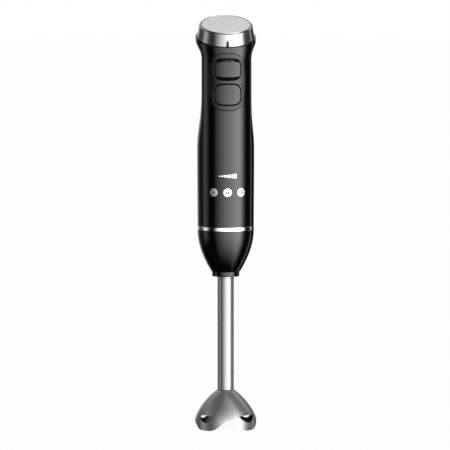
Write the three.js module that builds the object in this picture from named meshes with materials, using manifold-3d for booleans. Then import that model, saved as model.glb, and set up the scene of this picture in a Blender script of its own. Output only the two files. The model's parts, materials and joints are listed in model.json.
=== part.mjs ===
// Stick blender with a tilted speed dial, standing on its blade guard. Millimetres, +Z up, front at -Y.
// The origin is on the standing surface, under the drive axis that every turning piece shares.
import * as THREE from "three";
import { mergeVertices } from "three/addons/utils/BufferGeometryUtils.js";
import Module from "manifold-3d";

const wasm = await Module();
wasm.setup();

// ---- Driving dimensions ----
const GUARD_HEIGHT = 37.8; // blade guard, feet to crown
const GUARD_RADIUS = 31; // widest ring of the guard
const GUARD_WALL = 1.2;
const ARCH_HEIGHT = 10.2; // openings between the guard's feet
const TUBE_VISIBLE = 112.2; // bare tube between the guard and the coupling cone
const TUBE_RADIUS = 8;
const TUBE_WALL = 1;
const CONE_HEIGHT = 45.6;
const CONE_WALL = 2;
const COLLAR_WIDTH = 5.5; // flat ring round the tube at the cone's lower end
const BAND_HEIGHT = 3.8;
const BAND_PROUD = 0.15; // the bright band stands out of the grip by this much
const HANDLE_LENGTH = 184.6; // band to the middle of the dial's seat
const MOTOR_RADIUS = 21;
const MOTOR_LENGTH = 54;
const MOTOR_WALL = 1.6;
const DAMPER_THICKNESS = 4.05; // rubber rings between the motor and the shells
const SHELL_WALL = 2.4;
const SHAFT_RADIUS = 2.5; // drive shaft and motor shaft
const BLADE_REACH = 21;
const BLADE_PLANE = 16.2; // middle of the blade's sheet above the standing surface
const BLADE_SHEET = 1.2;
const SOCKET_DEPTH = 12.6; // how far the spigot reaches into the cone
const TWIST_TO_LOCK = 30; // degrees between seated and locked
const DIAL_TILT = THREE.MathUtils.degToRad(19);
const DIAL_HEIGHT = 13.5;
const DIAL_RADIUS = 28; // lower edge of the dial
const DIAL_TAPER = 1.8; // how much narrower the dial is at its shoulder
const PLATE_RADIUS = 23.7;
const POT_SHAFT_RADIUS = 2.9;
const PANEL_HALF_WIDTH = 18;
const PANEL_HALF_HEIGHT = 28.1;
const PANEL_POWER = 3; // of its squircle outline: 2 is an ellipse, and more is squarer
const BUTTON_HALF_WIDTH = 13;
const BUTTON_HALF_HEIGHT = 10.4;
const BUTTON_PITCH = 24.5; // between the two buttons' middles
const BUTTON_TRAVEL = 1.5;
const BUTTON_PROUD = 0.9;
const PANEL_PROUD = 0.4;

// ---- Clearances ----
const GAP = 0.3; // between faces that touch on the real object
const RUN_FIT = 0.15; // round pieces that turn or slide in each other
const JOINT_LINE = 0.2; // visible line between the cone and the band

// ---- Sizes and heights that follow ----
const handleRadius = MOTOR_RADIUS + DAMPER_THICKNESS + SHELL_WALL + RUN_FIT;
const cavityRadius = handleRadius - SHELL_WALL;
const dialSeatRadius = DIAL_RADIUS + 1.5;
const tubeBore = TUBE_RADIUS - TUBE_WALL;
const shaftHole = SHAFT_RADIUS + RUN_FIT;
const tubeBottom = GUARD_HEIGHT + GAP;
const coneBottom = GUARD_HEIGHT + TUBE_VISIBLE;
const coneTop = coneBottom + CONE_HEIGHT;
const bandBottom = coneTop + JOINT_LINE;
const bandTop = bandBottom + BAND_HEIGHT;
const shellBottom = bandTop + GAP;
const dialSeat = bandTop + HANDLE_LENGTH;
const panelMiddle = dialSeat - 42.5;
const turboHeight = dialSeat - 30.4;
const lowHeight = turboHeight - BUTTON_PITCH;
const fanBottom = shellBottom + 5.1;
const motorBottom = shellBottom + 14.1;
const motorTop = motorBottom + MOTOR_LENGTH;

const FINE = 36; // facets round the visible turned pieces
const MEDIUM = 24;
const COARSE = 14; // facets round small and hidden pieces

// ---- Solid modelling helpers ----

/** A closed geometry as a solid, whichever way its faces point. */
function solidFrom(geometry) {
  const bare = new THREE.BufferGeometry();
  bare.setAttribute("position", geometry.getAttribute("position").clone());
  bare.setIndex(geometry.index);
  const merged = mergeVertices(bare, 1e-4);
  const corners = Array.from(merged.index.array);
  const triangles = [];
  for (let i = 0; i < corners.length; i += 3) {
    const [a, b, c] = corners.slice(i, i + 3);
    if (a !== b && b !== c && c !== a) triangles.push(a, b, c);
  }
  const build = (triVerts) =>
    new wasm.Manifold(
      new wasm.Mesh({
        numProp: 3,
        vertProperties: new Float32Array(merged.attributes.position.array),
        triVerts: new Uint32Array(triVerts),
      }),
    );
  const solid = build(triangles);
  return solid.volume() < 0 ? build(triangles.reverse()) : solid;
}

const asSolid = (shape) => (shape.isBufferGeometry ? solidFrom(shape) : shape);

const join = (...shapes) => shapes.map(asSolid).reduce((all, one) => all.add(one));

const cut = (base, ...tools) =>
  tools.map(asSolid).reduce((left, tool) => left.subtract(tool), asSolid(base));

const common = (...shapes) => shapes.map(asSolid).reduce((all, one) => all.intersect(one));

function geometryFrom(shape) {
  const mesh = asSolid(shape).getMesh();
  const stride = mesh.numProp;
  const places = new Float32Array(mesh.numVert * 3);
  for (let i = 0; i < mesh.numVert; i += 1) {
    places.set(mesh.vertProperties.subarray(i * stride, i * stride + 3), i * 3);
  }
  const geometry = new THREE.BufferGeometry();
  geometry.setAttribute("position", new THREE.BufferAttribute(places, 3));
  geometry.setIndex(new THREE.BufferAttribute(new Uint32Array(mesh.triVerts), 1));
  const flat = geometry.toNonIndexed();
  flat.computeVertexNormals();
  return flat;
}

/** Turns a closed profile of [radius, height] points about the Z axis. */
function revolve(profile, segments = COARSE) {
  const points = [...profile, profile[0]].map(([radius, height]) => new THREE.Vector2(radius, height));
  return new THREE.LatheGeometry(points, segments).rotateX(Math.PI / 2);
}

function ring(inner, outer, bottom, top, segments = COARSE) {
  return revolve([[inner, bottom], [outer, bottom], [outer, top], [inner, top]], segments);
}

function disc(radius, bottom, top, segments = COARSE) {
  return new THREE.CylinderGeometry(radius, radius, top - bottom, segments)
    .rotateX(Math.PI / 2)
    .translate(0, 0, (bottom + top) / 2);
}

function block(lows, highs) {
  const size = highs.map((high, axis) => high - lows[axis]);
  const middle = highs.map((high, axis) => (high + lows[axis]) / 2);
  return new THREE.BoxGeometry(...size).translate(...middle);
}

const outlineOf = (points) => new THREE.Shape(points.map(([across, up]) => new THREE.Vector2(across, up)));

/** A prism of an outline drawn in X and Y, between two heights. */
function prismAlongZ(outline, bottom, top) {
  const settings = { depth: top - bottom, bevelEnabled: false };
  return new THREE.ExtrudeGeometry(outline, settings).translate(0, 0, bottom);
}

/** A prism of an outline drawn in X and Z, between two values of Y. */
function prismAlongY(outline, front, back) {
  return new THREE.ExtrudeGeometry(outline, { depth: back - front, bevelEnabled: false })
    .rotateX(Math.PI / 2)
    .translate(0, back, 0);
}

/** Part of a ring between two angles in degrees, counted from +X. */
function sector(inner, outer, from, to, bottom, top) {
  const steps = Math.max(2, Math.ceil((to - from) / 12));
  const arc = (radius, start, end) =>
    Array.from({ length: steps + 1 }, (_, i) => {
      const angle = THREE.MathUtils.degToRad(start + ((end - start) * i) / steps);
      return [radius * Math.cos(angle), radius * Math.sin(angle)];
    });
  return prismAlongZ(outlineOf([...arc(outer, from, to), ...arc(inner, to, from)]), bottom, top);
}

/** Superellipse outline: |x/w|^n + |z/h|^n = 1. */
function squircle(halfWidth, halfHeight, power, middle, points = 24) {
  const signedPower = (value) => Math.sign(value) * Math.abs(value) ** (2 / power);
  return outlineOf(
    Array.from({ length: points }, (_, i) => {
      const angle = (2 * Math.PI * (i + 0.5)) / points;
      return [halfWidth * signedPower(Math.cos(angle)), middle + halfHeight * signedPower(Math.sin(angle))];
    }),
  );
}

/** Rises smoothly from 0 at one value to 1 at another. */
const ease = (from, to, value) => THREE.MathUtils.smoothstep((value - from) / (to - from), 0, 1);

/** A cubic Bezier curve as [radius, height] points, moved inwards by a wall's thickness. */
function curveProfile(controls, wall, steps) {
  const corners = controls.map(([radius, height]) => new THREE.Vector2(radius, height));
  const curve = new THREE.CubicBezierCurve(...corners);
  return Array.from({ length: steps + 1 }, (_, i) => {
    const point = curve.getPoint(i / steps);
    const along = curve.getTangent(i / steps);
    const side = Math.abs(along.y);
    return [point.x - wall * side, point.y - wall * along.x * Math.sign(-along.y)];
  });
}

// ---- Model tree ----
const blender = new THREE.Group();
const dialGroup = new THREE.Group();
dialGroup.position.z = dialSeat;
dialGroup.rotation.x = DIAL_TILT;
blender.add(dialGroup);

const finish = (color, roughness, metalness) =>
  new THREE.MeshStandardMaterial({ color, roughness, metalness });

const finishes = {
  gloss: finish(0x0e0e10, 0.12, 0),
  softTouch: finish(0x1c1c1e, 0.62, 0),
  chrome: finish(0xe4e6e8, 0.08, 1),
  satin: finish(0xd4d5d7, 0.34, 1),
  steel: finish(0xb9bcc0, 0.28, 1),
  blade: finish(0xc6c9cc, 0.2, 1),
  bronze: finish(0xa9803f, 0.35, 1),
  rubber: finish(0x17171a, 0.75, 0),
  nylon: finish(0xe6e2d6, 0.5, 0),
  darkPlastic: finish(0x26272a, 0.45, 0),
  screw: finish(0x8f9398, 0.35, 1),
  copper: finish(0xb4693a, 0.35, 1),
  magnet: finish(0x3b3c40, 0.5, 0.3),
  lamination: finish(0x85888c, 0.45, 0.9),
  carbon: finish(0x242426, 0.6, 0.2),
  board: finish(0x1f5a37, 0.55, 0),
  capacitor: finish(0xc9a63c, 0.5, 0),
  aluminium: finish(0xbcbfc3, 0.4, 1),
};

function add(name, material, shape, group = blender) {
  const mesh = new THREE.Mesh(geometryFrom(shape), finishes[material]);
  mesh.name = name;
  group.add(mesh);
}

// ---- Blade guard and the blade in it ----
const crownHole = tubeBore;
const neckRadius = tubeBore - RUN_FIT;
const flangeTop = GUARD_HEIGHT - 3.6;
const flangeBottom = flangeTop - 3.7;
const sealBottom = flangeBottom - GAP;
const bushRadius = SHAFT_RADIUS + 1.35;

/** Height of the guard's rim, by the angle in degrees from the middle of a foot. */
function rimHeight(fromFoot) {
  const footHalfAngle = 7;
  const share = Math.max(0, (fromFoot - footHalfAngle) / (45 - footHalfAngle));
  return ARCH_HEIGHT * Math.sin((Math.PI / 2) * share ** 1.4) ** 2;
}

function archOutline() {
  const steps = 12;
  const curve = Array.from({ length: steps + 1 }, (_, i) => {
    const fromArch = -38 + (76 * i) / steps;
    return [GUARD_RADIUS * Math.sin(THREE.MathUtils.degToRad(fromArch)), rimHeight(45 - Math.abs(fromArch))];
  });
  const reach = curve[steps][0];
  return outlineOf([[-reach, -1], ...curve.slice(1, -1), [reach, -1]]);
}

/** Lens between a shallow upper arc and a deep lower arc. */
function slotOutline() {
  const halfWidth = 10.3;
  const corner = GUARD_HEIGHT * 0.376;
  const arc = (sag, from, to) =>
    Array.from({ length: 9 }, (_, i) => {
      const across = from + ((to - from) * i) / 8;
      return [across, corner + sag * (1 - (across / halfWidth) ** 2)];
    });
  return outlineOf([...arc(0.8, halfWidth, -halfWidth), ...arc(-6.6, -halfWidth, halfWidth).slice(1, -1)]);
}

function makeGuard() {
  const controls = [
    [TUBE_RADIUS + GAP, GUARD_HEIGHT],
    [1.95 * TUBE_RADIUS, GUARD_HEIGHT - 4.5],
    [GUARD_RADIUS, GUARD_HEIGHT * 0.44],
    [GUARD_RADIUS, GUARD_HEIGHT * 0.16],
  ];
  const outside = curveProfile(controls, 0, 9);
  const inside = curveProfile(controls, GUARD_WALL, 6);
  const bell = revolve(
    [
      [crownHole, GUARD_HEIGHT],
      ...outside,
      [GUARD_RADIUS, 0],
      [GUARD_RADIUS - GUARD_WALL, 0],
      ...inside.reverse(),
      [crownHole, GUARD_HEIGHT - GUARD_WALL],
    ],
    FINE,
  );
  const tools = [0, 1, 2, 3].flatMap((quarter) => [
    prismAlongY(archOutline(), -2 * GUARD_RADIUS, -TUBE_RADIUS).rotateZ((quarter * Math.PI) / 2),
    prismAlongY(slotOutline(), -2 * GUARD_RADIUS, -TUBE_RADIUS).rotateZ(((quarter + 0.5) * Math.PI) / 2),
  ]);
  add("blade_guard", "steel", cut(bell, ...tools));
}

function makeLowerBearing() {
  const shoulder = tubeBore + 1;
  const sealRecess = 6;
  const housingTop = GUARD_HEIGHT + 24;
  const housing = revolve([
    [sealRecess, flangeBottom],
    [10.5, flangeBottom],
    [10.5, flangeTop],
    [shoulder, flangeTop],
    [shoulder, GUARD_HEIGHT - GUARD_WALL - 0.5],
    [neckRadius, GUARD_HEIGHT - GUARD_WALL - 0.5],
    [neckRadius, housingTop],
    [bushRadius + RUN_FIT, housingTop],
    [bushRadius + RUN_FIT, flangeBottom + 2.8],
    [sealRecess, flangeBottom + 2.8],
  ], MEDIUM);
  add("bearing_housing", "darkPlastic", housing);
  add("lower_bush", "bronze", ring(shaftHole, bushRadius, flangeBottom + 3.1, housingTop - 1.8));
  add("lip_seal", "rubber", ring(shaftHole, sealRecess - RUN_FIT, sealBottom, flangeBottom + 2.5));
}

/** One wing of the blade, drawn flat, bent up or down at the hub and turned to its side. */
function bladeWing(turn, lift) {
  const wing = new THREE.Shape();
  wing.moveTo(4.8, -4.4);
  wing.quadraticCurveTo(0.62 * BLADE_REACH, -0.42 * BLADE_REACH, BLADE_REACH, 0.04 * BLADE_REACH);
  wing.lineTo(0.93 * BLADE_REACH, 0.12 * BLADE_REACH);
  wing.quadraticCurveTo(0.6 * BLADE_REACH, -0.02 * BLADE_REACH, 4.8, 4.4);
  const bendRadius = 6;
  return new THREE.ExtrudeGeometry(wing, { depth: BLADE_SHEET, bevelEnabled: false, curveSegments: 8 })
    .translate(-bendRadius, 0, -BLADE_SHEET / 2)
    .rotateY(-lift)
    .translate(bendRadius, 0, BLADE_PLANE)
    .rotateZ(turn);
}

function makeBlade() {
  const half = BLADE_SHEET / 2;
  const nutTop = BLADE_PLANE - half - GAP;
  const hubRadius = SHAFT_RADIUS + 2.7;
  const sheet = join(
    disc(hubRadius + 1.3, BLADE_PLANE - half, BLADE_PLANE + half),
    bladeWing(0.3, 0.27),
    bladeWing(0.3 + Math.PI, -0.12),
  );
  const nut = revolve([
    [0, nutTop - 4.7],
    [2.6, nutTop - 4.5],
    [4.2, nutTop - 3],
    [4.4, nutTop],
    [shaftHole, nutTop],
    [shaftHole, nutTop - 2.7],
    [0, nutTop - 2.7],
  ]);
  add("blade", "blade", cut(sheet, disc(shaftHole, 0, 2 * BLADE_PLANE)));
  add("blade_hub", "steel", ring(shaftHole, hubRadius, BLADE_PLANE + half + GAP, sealBottom - GAP));
  add("blade_nut", "steel", nut);
  return nutTop - 2.4;
}

// ---- Shaft tube and coupling cone ----
const linerTop = coneTop - GAP;
const linerFloor = coneTop - SOCKET_DEPTH - 3;
const linerFloorThickness = 2;
const hubBottom = coneBottom + 7;
const skirtRadius = handleRadius - 9;
const lugRadius = skirtRadius + 2;
const linerBore = skirtRadius + 0.8;
const channelRadius = lugRadius + 0.4;
const linerRadius = channelRadius + 1;
const lugBottom = coneTop - 10.6;
const lugTop = lugBottom + 3;
const lugHalfAngle = 12;
const lugAngles = [90, 210, 330];
const dogHubRadius = SHAFT_RADIUS + 1.7;
const dogRadius = dogHubRadius + 2.7;
const dogBottom = coneTop - SOCKET_DEPTH + 1;
const cupBore = dogRadius + 0.4;

function makeShaftTube() {
  const tubeTop = linerFloor - linerFloorThickness - GAP;
  const tube = revolve([
    [tubeBore, tubeBottom],
    [TUBE_RADIUS - 0.4, tubeBottom],
    [TUBE_RADIUS, tubeBottom + 0.4],
    [TUBE_RADIUS, tubeTop],
    [tubeBore, tubeTop],
  ], MEDIUM);
  const bush = (bottom, length) => ring(shaftHole, tubeBore - RUN_FIT, bottom, bottom + length);
  add("shaft_tube", "steel", tube);
  add("mid_bush", "nylon", bush(GUARD_HEIGHT + TUBE_VISIBLE / 2, 10));
  add("upper_bush", "bronze", bush(tubeTop - 17, 14));
}

function makeCone() {
  const collarRadius = TUBE_RADIUS + COLLAR_WIDTH;
  const controls = [
    [collarRadius + 0.8, coneBottom + 5],
    [collarRadius + 7.7, coneBottom + 0.362 * CONE_HEIGHT],
    [handleRadius, coneBottom + 0.658 * CONE_HEIGHT],
    [handleRadius, coneTop],
  ];
  const tubeHole = TUBE_RADIUS + RUN_FIT;
  const inside = curveProfile(controls, CONE_WALL, 4).reverse();
  const cone = revolve(
    [
      [tubeHole, coneBottom],
      [collarRadius - 0.7, coneBottom],
      [collarRadius - 0.1, coneBottom + 0.6],
      [collarRadius - 0.1, coneBottom + 4.4],
      ...curveProfile(controls, 0, 7),
      ...inside,
      [collarRadius - CONE_WALL, coneBottom + 2.2],
      [tubeHole, coneBottom + 2.2],
    ],
    FINE,
  );
  add("coupling_cone", "gloss", cone);
}

/** The L-shaped way in the liner that a lug drops into and is then turned along. */
function bayonetChannel(angle) {
  const slack = 3;
  const inside = skirtRadius;
  const drop = sector(
    inside,
    channelRadius,
    angle - lugHalfAngle - slack,
    angle + lugHalfAngle + slack,
    lugBottom - 0.5,
    coneTop,
  );
  const run = sector(
    inside,
    channelRadius,
    angle - lugHalfAngle - slack - TWIST_TO_LOCK,
    angle + lugHalfAngle + slack,
    lugBottom - 0.5,
    lugTop + 0.5,
  );
  return join(drop, run);
}

function makeSocketLiner() {
  const floorBottom = linerFloor - linerFloorThickness;
  const tubeHole = TUBE_RADIUS + RUN_FIT;
  const liner = revolve(
    [
      [SHAFT_RADIUS + 0.8, linerFloor],
      [linerBore, linerFloor],
      [linerBore, linerTop],
      [handleRadius - CONE_WALL - GAP, linerTop],
      [handleRadius - CONE_WALL - GAP, linerTop - 1.8],
      [linerRadius, linerTop - 1.8],
      [linerRadius, linerFloor + 1],
      [linerRadius - 1.6, floorBottom],
      [tubeHole + 2.3, floorBottom],
      [tubeHole + 2.3, hubBottom],
      [tubeHole, hubBottom],
      [tubeHole, floorBottom],
      [SHAFT_RADIUS + 0.8, floorBottom],
    ],
    MEDIUM,
  );
  add("socket_liner", "darkPlastic", cut(liner, ...lugAngles.map(bayonetChannel)));
}

function makeDriveSocket() {
  const washerBottom = linerFloor + 0.2;
  const socketBottom = washerBottom + 1.1;
  const cupTop = coneTop - GAP - 2.3;
  const ribs = [90, 270].map((angle) =>
    sector(dogHubRadius + 0.4, cupBore + 0.5, angle - 20, angle + 20, socketBottom, cupTop),
  );
  const cup = revolve([
    [shaftHole, socketBottom],
    [cupBore + 2, socketBottom],
    [cupBore + 2, cupTop],
    [cupBore, cupTop],
    [cupBore, socketBottom + 2],
    [shaftHole, socketBottom + 2],
  ], MEDIUM);
  add("thrust_washer", "nylon", ring(shaftHole + 0.3, cupBore + 1, washerBottom, washerBottom + 0.8));
  add("drive_socket", "nylon", join(cup, ...ribs));
  return socketBottom + 1.7;
}

// ---- Lower end of the motor unit ----
const flangeThickness = 4.1;
const screwCircle = cavityRadius - 3.2;
const screwAngles = [45, 135, 225, 315];

/** A pan-head screw that points up from a height, on the drive axis. */
function screw(headBottom, length) {
  return revolve([
    [0, headBottom],
    [2.2, headBottom],
    [2.6, headBottom + 0.5],
    [2.6, headBottom + 1.6],
    [1.45, headBottom + 1.6],
    [1.45, headBottom + length - 1],
    [0.5, headBottom + length],
    [0, headBottom + length],
  ], 10);
}

function onScrewCircle(geometry, degrees) {
  return geometry.translate(screwCircle, 0, 0).rotateZ(THREE.MathUtils.degToRad(degrees));
}

function makeSpigot() {
  const skirtBottom = coneTop - SOCKET_DEPTH;
  const grooveBottom = coneTop - 4.9;
  const wall = 2.2;
  const body = revolve(
    [
      [SHAFT_RADIUS + 2.1, shellBottom],
      [skirtRadius - wall, shellBottom],
      [skirtRadius - wall, skirtBottom],
      [skirtRadius - 0.4, skirtBottom],
      [skirtRadius, skirtBottom + 0.4],
      [skirtRadius, grooveBottom],
      [skirtRadius - 0.9, grooveBottom],
      [skirtRadius - 0.9, grooveBottom + 1.9],
      [skirtRadius, grooveBottom + 1.9],
      [skirtRadius, shellBottom],
      [cavityRadius - GAP, shellBottom],
      [cavityRadius - GAP, shellBottom + flangeThickness],
      [SHAFT_RADIUS + 2.1, shellBottom + flangeThickness],
    ],
    MEDIUM,
  );
  const lugs = lugAngles.map((angle) =>
    sector(skirtRadius - 0.6, lugRadius, angle - lugHalfAngle, angle + lugHalfAngle, lugBottom, lugTop),
  );
  const holes = screwAngles.flatMap((angle) => [
    onScrewCircle(disc(1.7, shellBottom - 1, shellBottom + flangeThickness + 1, 10), angle),
    onScrewCircle(disc(2.75, shellBottom - 1, shellBottom + 2, 10), angle),
  ]);
  add("bayonet_spigot", "darkPlastic", cut(join(body, ...lugs), ...holes));
  screwAngles.forEach((angle, i) => {
    add(`spigot_screw_${i + 1}`, "screw", onScrewCircle(screw(shellBottom + 0.1, 11), angle));
  });

  const sealHeight = grooveBottom + 0.95;
  add(
    "spigot_oring",
    "rubber",
    new THREE.TorusGeometry(skirtRadius + 0.05, 0.62, 6, MEDIUM).translate(0, 0, sealHeight),
  );

  const bandRadius = handleRadius + BAND_PROUD;
  const band = revolve(
    [
      [skirtRadius + GAP, bandBottom],
      [bandRadius - 0.35, bandBottom],
      [bandRadius, bandBottom + 0.4],
      [bandRadius, bandTop - 0.4],
      [bandRadius - 0.35, bandTop],
      [skirtRadius + GAP, bandTop],
    ],
    FINE,
  );
  add("trim_band", "chrome", band);
}

function makeDriveDog() {
  const dogTop = coneTop - 0.6;
  const hub = revolve([
    [0, dogBottom],
    [dogHubRadius - 0.6, dogBottom],
    [dogHubRadius, dogBottom + 0.6],
    [dogHubRadius, shellBottom + 1.5],
    [shaftHole, shellBottom + 1.5],
    [shaftHole, dogBottom + 1],
    [0, dogBottom + 1],
  ]);
  const dogs = [0, 180].map((angle) =>
    sector(dogHubRadius - 0.5, dogRadius, angle - 20, angle + 20, dogBottom + 0.5, dogTop),
  );
  add("drive_dog", "nylon", join(hub, ...dogs));
}

function makeFan() {
  const fanRadius = skirtRadius - 1.6;
  const blades = Array.from({ length: 9 }, (_, i) =>
    block([5, -0.5, fanBottom + 0.5], [fanRadius, 0.5, fanBottom + 6]).rotateZ((i * 2 * Math.PI) / 9),
  );
  const fan = join(
    ring(shaftHole, 6, fanBottom, fanBottom + 6),
    ring(shaftHole, fanRadius, fanBottom, fanBottom + 1, MEDIUM),
    ...blades,
  );
  add("cooling_fan", "darkPlastic", fan);
}

// ---- Motor ----
function makeMotor() {
  const bearingRadius = SHAFT_RADIUS + 2.9;
  const seatBore = bearingRadius + RUN_FIT;
  const inside = MOTOR_RADIUS - MOTOR_WALL;
  const can = revolve(
    [
      [seatBore, motorBottom],
      [MOTOR_RADIUS - 0.6, motorBottom],
      [MOTOR_RADIUS, motorBottom + 0.6],
      [MOTOR_RADIUS, motorTop],
      [inside, motorTop],
      [inside, motorBottom + MOTOR_WALL],
      [seatBore + 1.8, motorBottom + MOTOR_WALL],
      [seatBore + 1.8, motorBottom + 6],
      [seatBore, motorBottom + 6],
    ],
    MEDIUM,
  );
  const bearing = (bottom) => ring(shaftHole, bearingRadius, bottom, bottom + 5);
  add("motor_can", "steel", can);
  add("lower_bearing", "steel", bearing(motorBottom + 0.5));

  const coreBottom = motorBottom + 12;
  const coreTop = motorTop - 16;
  const coreRadius = inside - 3.5;
  const magnetInside = coreRadius + 0.7;
  const magnet = (from) => sector(magnetInside, inside - 0.2, from, from + 116, coreBottom - 4, coreTop + 5);
  add("magnet_left", "magnet", magnet(122));
  add("magnet_right", "magnet", magnet(-58));

  const slotInner = coreRadius * 0.55;
  const slots = Array.from({ length: 8 }, (_, i) => ({
    hole: block([slotInner, -1.4, coreBottom - 1], [MOTOR_RADIUS, 1.4, coreTop + 1])
      .rotateZ((i * Math.PI) / 4),
    wire: block([slotInner + 0.4, -1, coreBottom - 2], [coreRadius - 0.8, 1, coreTop + 2])
      .rotateZ((i * Math.PI) / 4),
  }));
  const coreDisc = ring(shaftHole, coreRadius, coreBottom, coreTop, MEDIUM);
  const coil = (bottom) => ring(shaftHole + 1.4, coreRadius - 0.8, bottom, bottom + 5);
  add("armature_core", "lamination", cut(coreDisc, ...slots.map((slot) => slot.hole)));
  add(
    "armature_winding",
    "copper",
    join(coil(coreBottom - 5.3), coil(coreTop + 0.3), ...slots.map((slot) => slot.wire)),
  );

  const commutatorRadius = 6;
  const commutatorBottom = coreTop + 6.5;
  const brushMiddle = motorTop - 4;
  add("commutator", "copper", ring(shaftHole, commutatorRadius, commutatorBottom, motorTop - 0.5));

  const capTop = motorTop + GAP + 3;
  const brushBox = (grow) =>
    block(
      [-inside + 3 - grow, -2.2 - grow, brushMiddle - 2 - grow],
      [-commutatorRadius - 1.2, 2.2 + grow, brushMiddle + 2 + grow],
    );
  const capPlate = revolve(
    [
      [seatBore, motorTop + GAP],
      [MOTOR_RADIUS, motorTop + GAP],
      [MOTOR_RADIUS, capTop],
      [seatBore + 1.8, capTop],
      [seatBore + 1.8, capTop + 5.6],
      [seatBore, capTop + 5.6],
    ],
    MEDIUM,
  );
  const posts = [-1, 1].map((side) =>
    block(
      [side < 0 ? -inside + 1 : inside - 6, -4, brushMiddle + 2],
      [side < 0 ? -inside + 6 : inside - 1, 4, motorTop + GAP + 0.5],
    ),
  );
  const guides = [0, Math.PI].map((turn) => cut(brushBox(1.3).rotateZ(turn), brushBox(0.3).rotateZ(turn)));
  const openEnds = [0, Math.PI].map((turn) =>
    block(
      [-inside + 0.5, -2.5, brushMiddle - 2.3],
      [-commutatorRadius, 2.5, brushMiddle + 2.3],
    ).rotateZ(turn),
  );
  add("motor_end_cap", "darkPlastic", cut(join(capPlate, ...posts, ...guides), ...openEnds));
  add("upper_bearing", "steel", bearing(capTop + 0.3));
  [["brush_left", 0], ["brush_right", Math.PI]].forEach(([name, turn]) => {
    const brush = block([-13, -2.2, brushMiddle - 2], [-commutatorRadius - 0.3, 2.2, brushMiddle + 2]);
    add(name, "carbon", brush.rotateZ(turn));
  });

  const damper = (bottom) => ring(MOTOR_RADIUS + RUN_FIT, cavityRadius - RUN_FIT, bottom, bottom + 6, MEDIUM);
  add("lower_damper", "rubber", damper(motorBottom + 2));
  add("upper_damper", "rubber", damper(motorTop - 10));
  add("motor_shaft", "steel", disc(SHAFT_RADIUS, dogBottom + 1.3, capTop + 8));
}

// ---- Grip ----

/**
 * Distance of the grip's surface from the drive axis, by the angle from the front and the height.
 * The front stays on one cylinder. Sides and back are scooped to an egg-shaped waist, and the sides
 * flare out again to the dial's tilted seat.
 */
function gripRadius(angle, height) {
  const sine = Math.sin(angle);
  const cosine = Math.cos(angle);
  const seat = dialSeat - handleRadius * cosine * Math.tan(DIAL_TILT);
  const flare = 1 - ease(3, 18, seat - height);
  const belly = 0.35 * ease(shellBottom, shellBottom + 0.35 * HANDLE_LENGTH, height);
  const straight = handleRadius + belly;
  const side = straight + flare * (dialSeatRadius - straight);
  const front = straight + flare * (dialSeatRadius * Math.cos(DIAL_TILT) - straight);
  const full = 1 / Math.hypot(sine / side, cosine / front);

  const eggMiddle = 0.47 * handleRadius;
  const eggWidth = handleRadius - 3.1;
  const eggLength = eggMiddle + handleRadius - 3;
  const a = (sine / eggWidth) ** 2 + (cosine / eggLength) ** 2;
  const b = (eggMiddle * cosine) / eggLength ** 2;
  const c = (eggMiddle / eggLength) ** 2 - 1;
  const egg = (b + Math.sqrt(b * b - a * c)) / a;
  const over = full - egg;
  const scoop = (over + Math.hypot(over, 0.8)) / 2;
  const rise = ease(dialSeat - 0.59 * HANDLE_LENGTH, dialSeat - 0.28 * HANDLE_LENGTH, height);
  return full - scoop * rise * (1 - flare);
}

/** The grip as a closed solid: its surface moved inwards by an inset, its ends moved out by an overrun. */
function grip(inset, overrun = 0) {
  const rows = 11;
  const segments = 32;
  const bottom = shellBottom - overrun;
  const tops = [];
  const places = [];
  const index = [];
  for (let j = 0; j < segments; j += 1) {
    const angle = (2 * Math.PI * j) / segments;
    const reach = gripRadius(angle, dialSeat - handleRadius * Math.cos(angle) * Math.tan(DIAL_TILT)) - inset;
    tops.push(dialSeat + overrun - reach * Math.cos(angle) * Math.tan(DIAL_TILT));
  }
  for (let i = 0; i <= rows; i += 1) {
    const share = 1 - (1 - i / rows) ** 1.6;
    for (let j = 0; j < segments; j += 1) {
      const angle = (2 * Math.PI * j) / segments;
      const height = bottom + share * (tops[j] - bottom);
      const radius = gripRadius(angle, height) - inset;
      places.push(radius * Math.sin(angle), -radius * Math.cos(angle), height);
    }
  }
  const corner = (i, j) => i * segments + (j % segments);
  for (let i = 0; i < rows; i += 1) {
    for (let j = 0; j < segments; j += 1) {
      index.push(corner(i, j), corner(i, j + 1), corner(i + 1, j + 1));
      index.push(corner(i, j), corner(i + 1, j + 1), corner(i + 1, j));
    }
  }
  const low = places.length / 3;
  places.push(0, 0, bottom, 0, 0, dialSeat + overrun);
  for (let j = 0; j < segments; j += 1) {
    index.push(low, corner(0, j + 1), corner(0, j));
    index.push(low + 1, corner(rows, j), corner(rows, j + 1));
  }
  const geometry = new THREE.BufferGeometry();
  geometry.setAttribute("position", new THREE.Float32BufferAttribute(places, 3));
  geometry.setIndex(index);
  return solidFrom(geometry);
}

const panelFlangeInset = SHELL_WALL + GAP;
const panelBackInset = panelFlangeInset + 1.1;
const panelOutline = (grow) =>
  squircle(PANEL_HALF_WIDTH + grow, PANEL_HALF_HEIGHT + grow, PANEL_POWER, panelMiddle, 28);
const buttonOutline = (height, grow) =>
  squircle(BUTTON_HALF_WIDTH + grow, BUTTON_HALF_HEIGHT + grow, 3.4, height);

/** The stretch of the grip's front wall between two insets that an outline covers. */
function curvedPlate(outline, frontInset, backInset) {
  const covered = prismAlongY(outline, -2 * handleRadius, -4);
  return common(covered, cut(grip(frontInset), grip(backInset, 2)));
}

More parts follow.
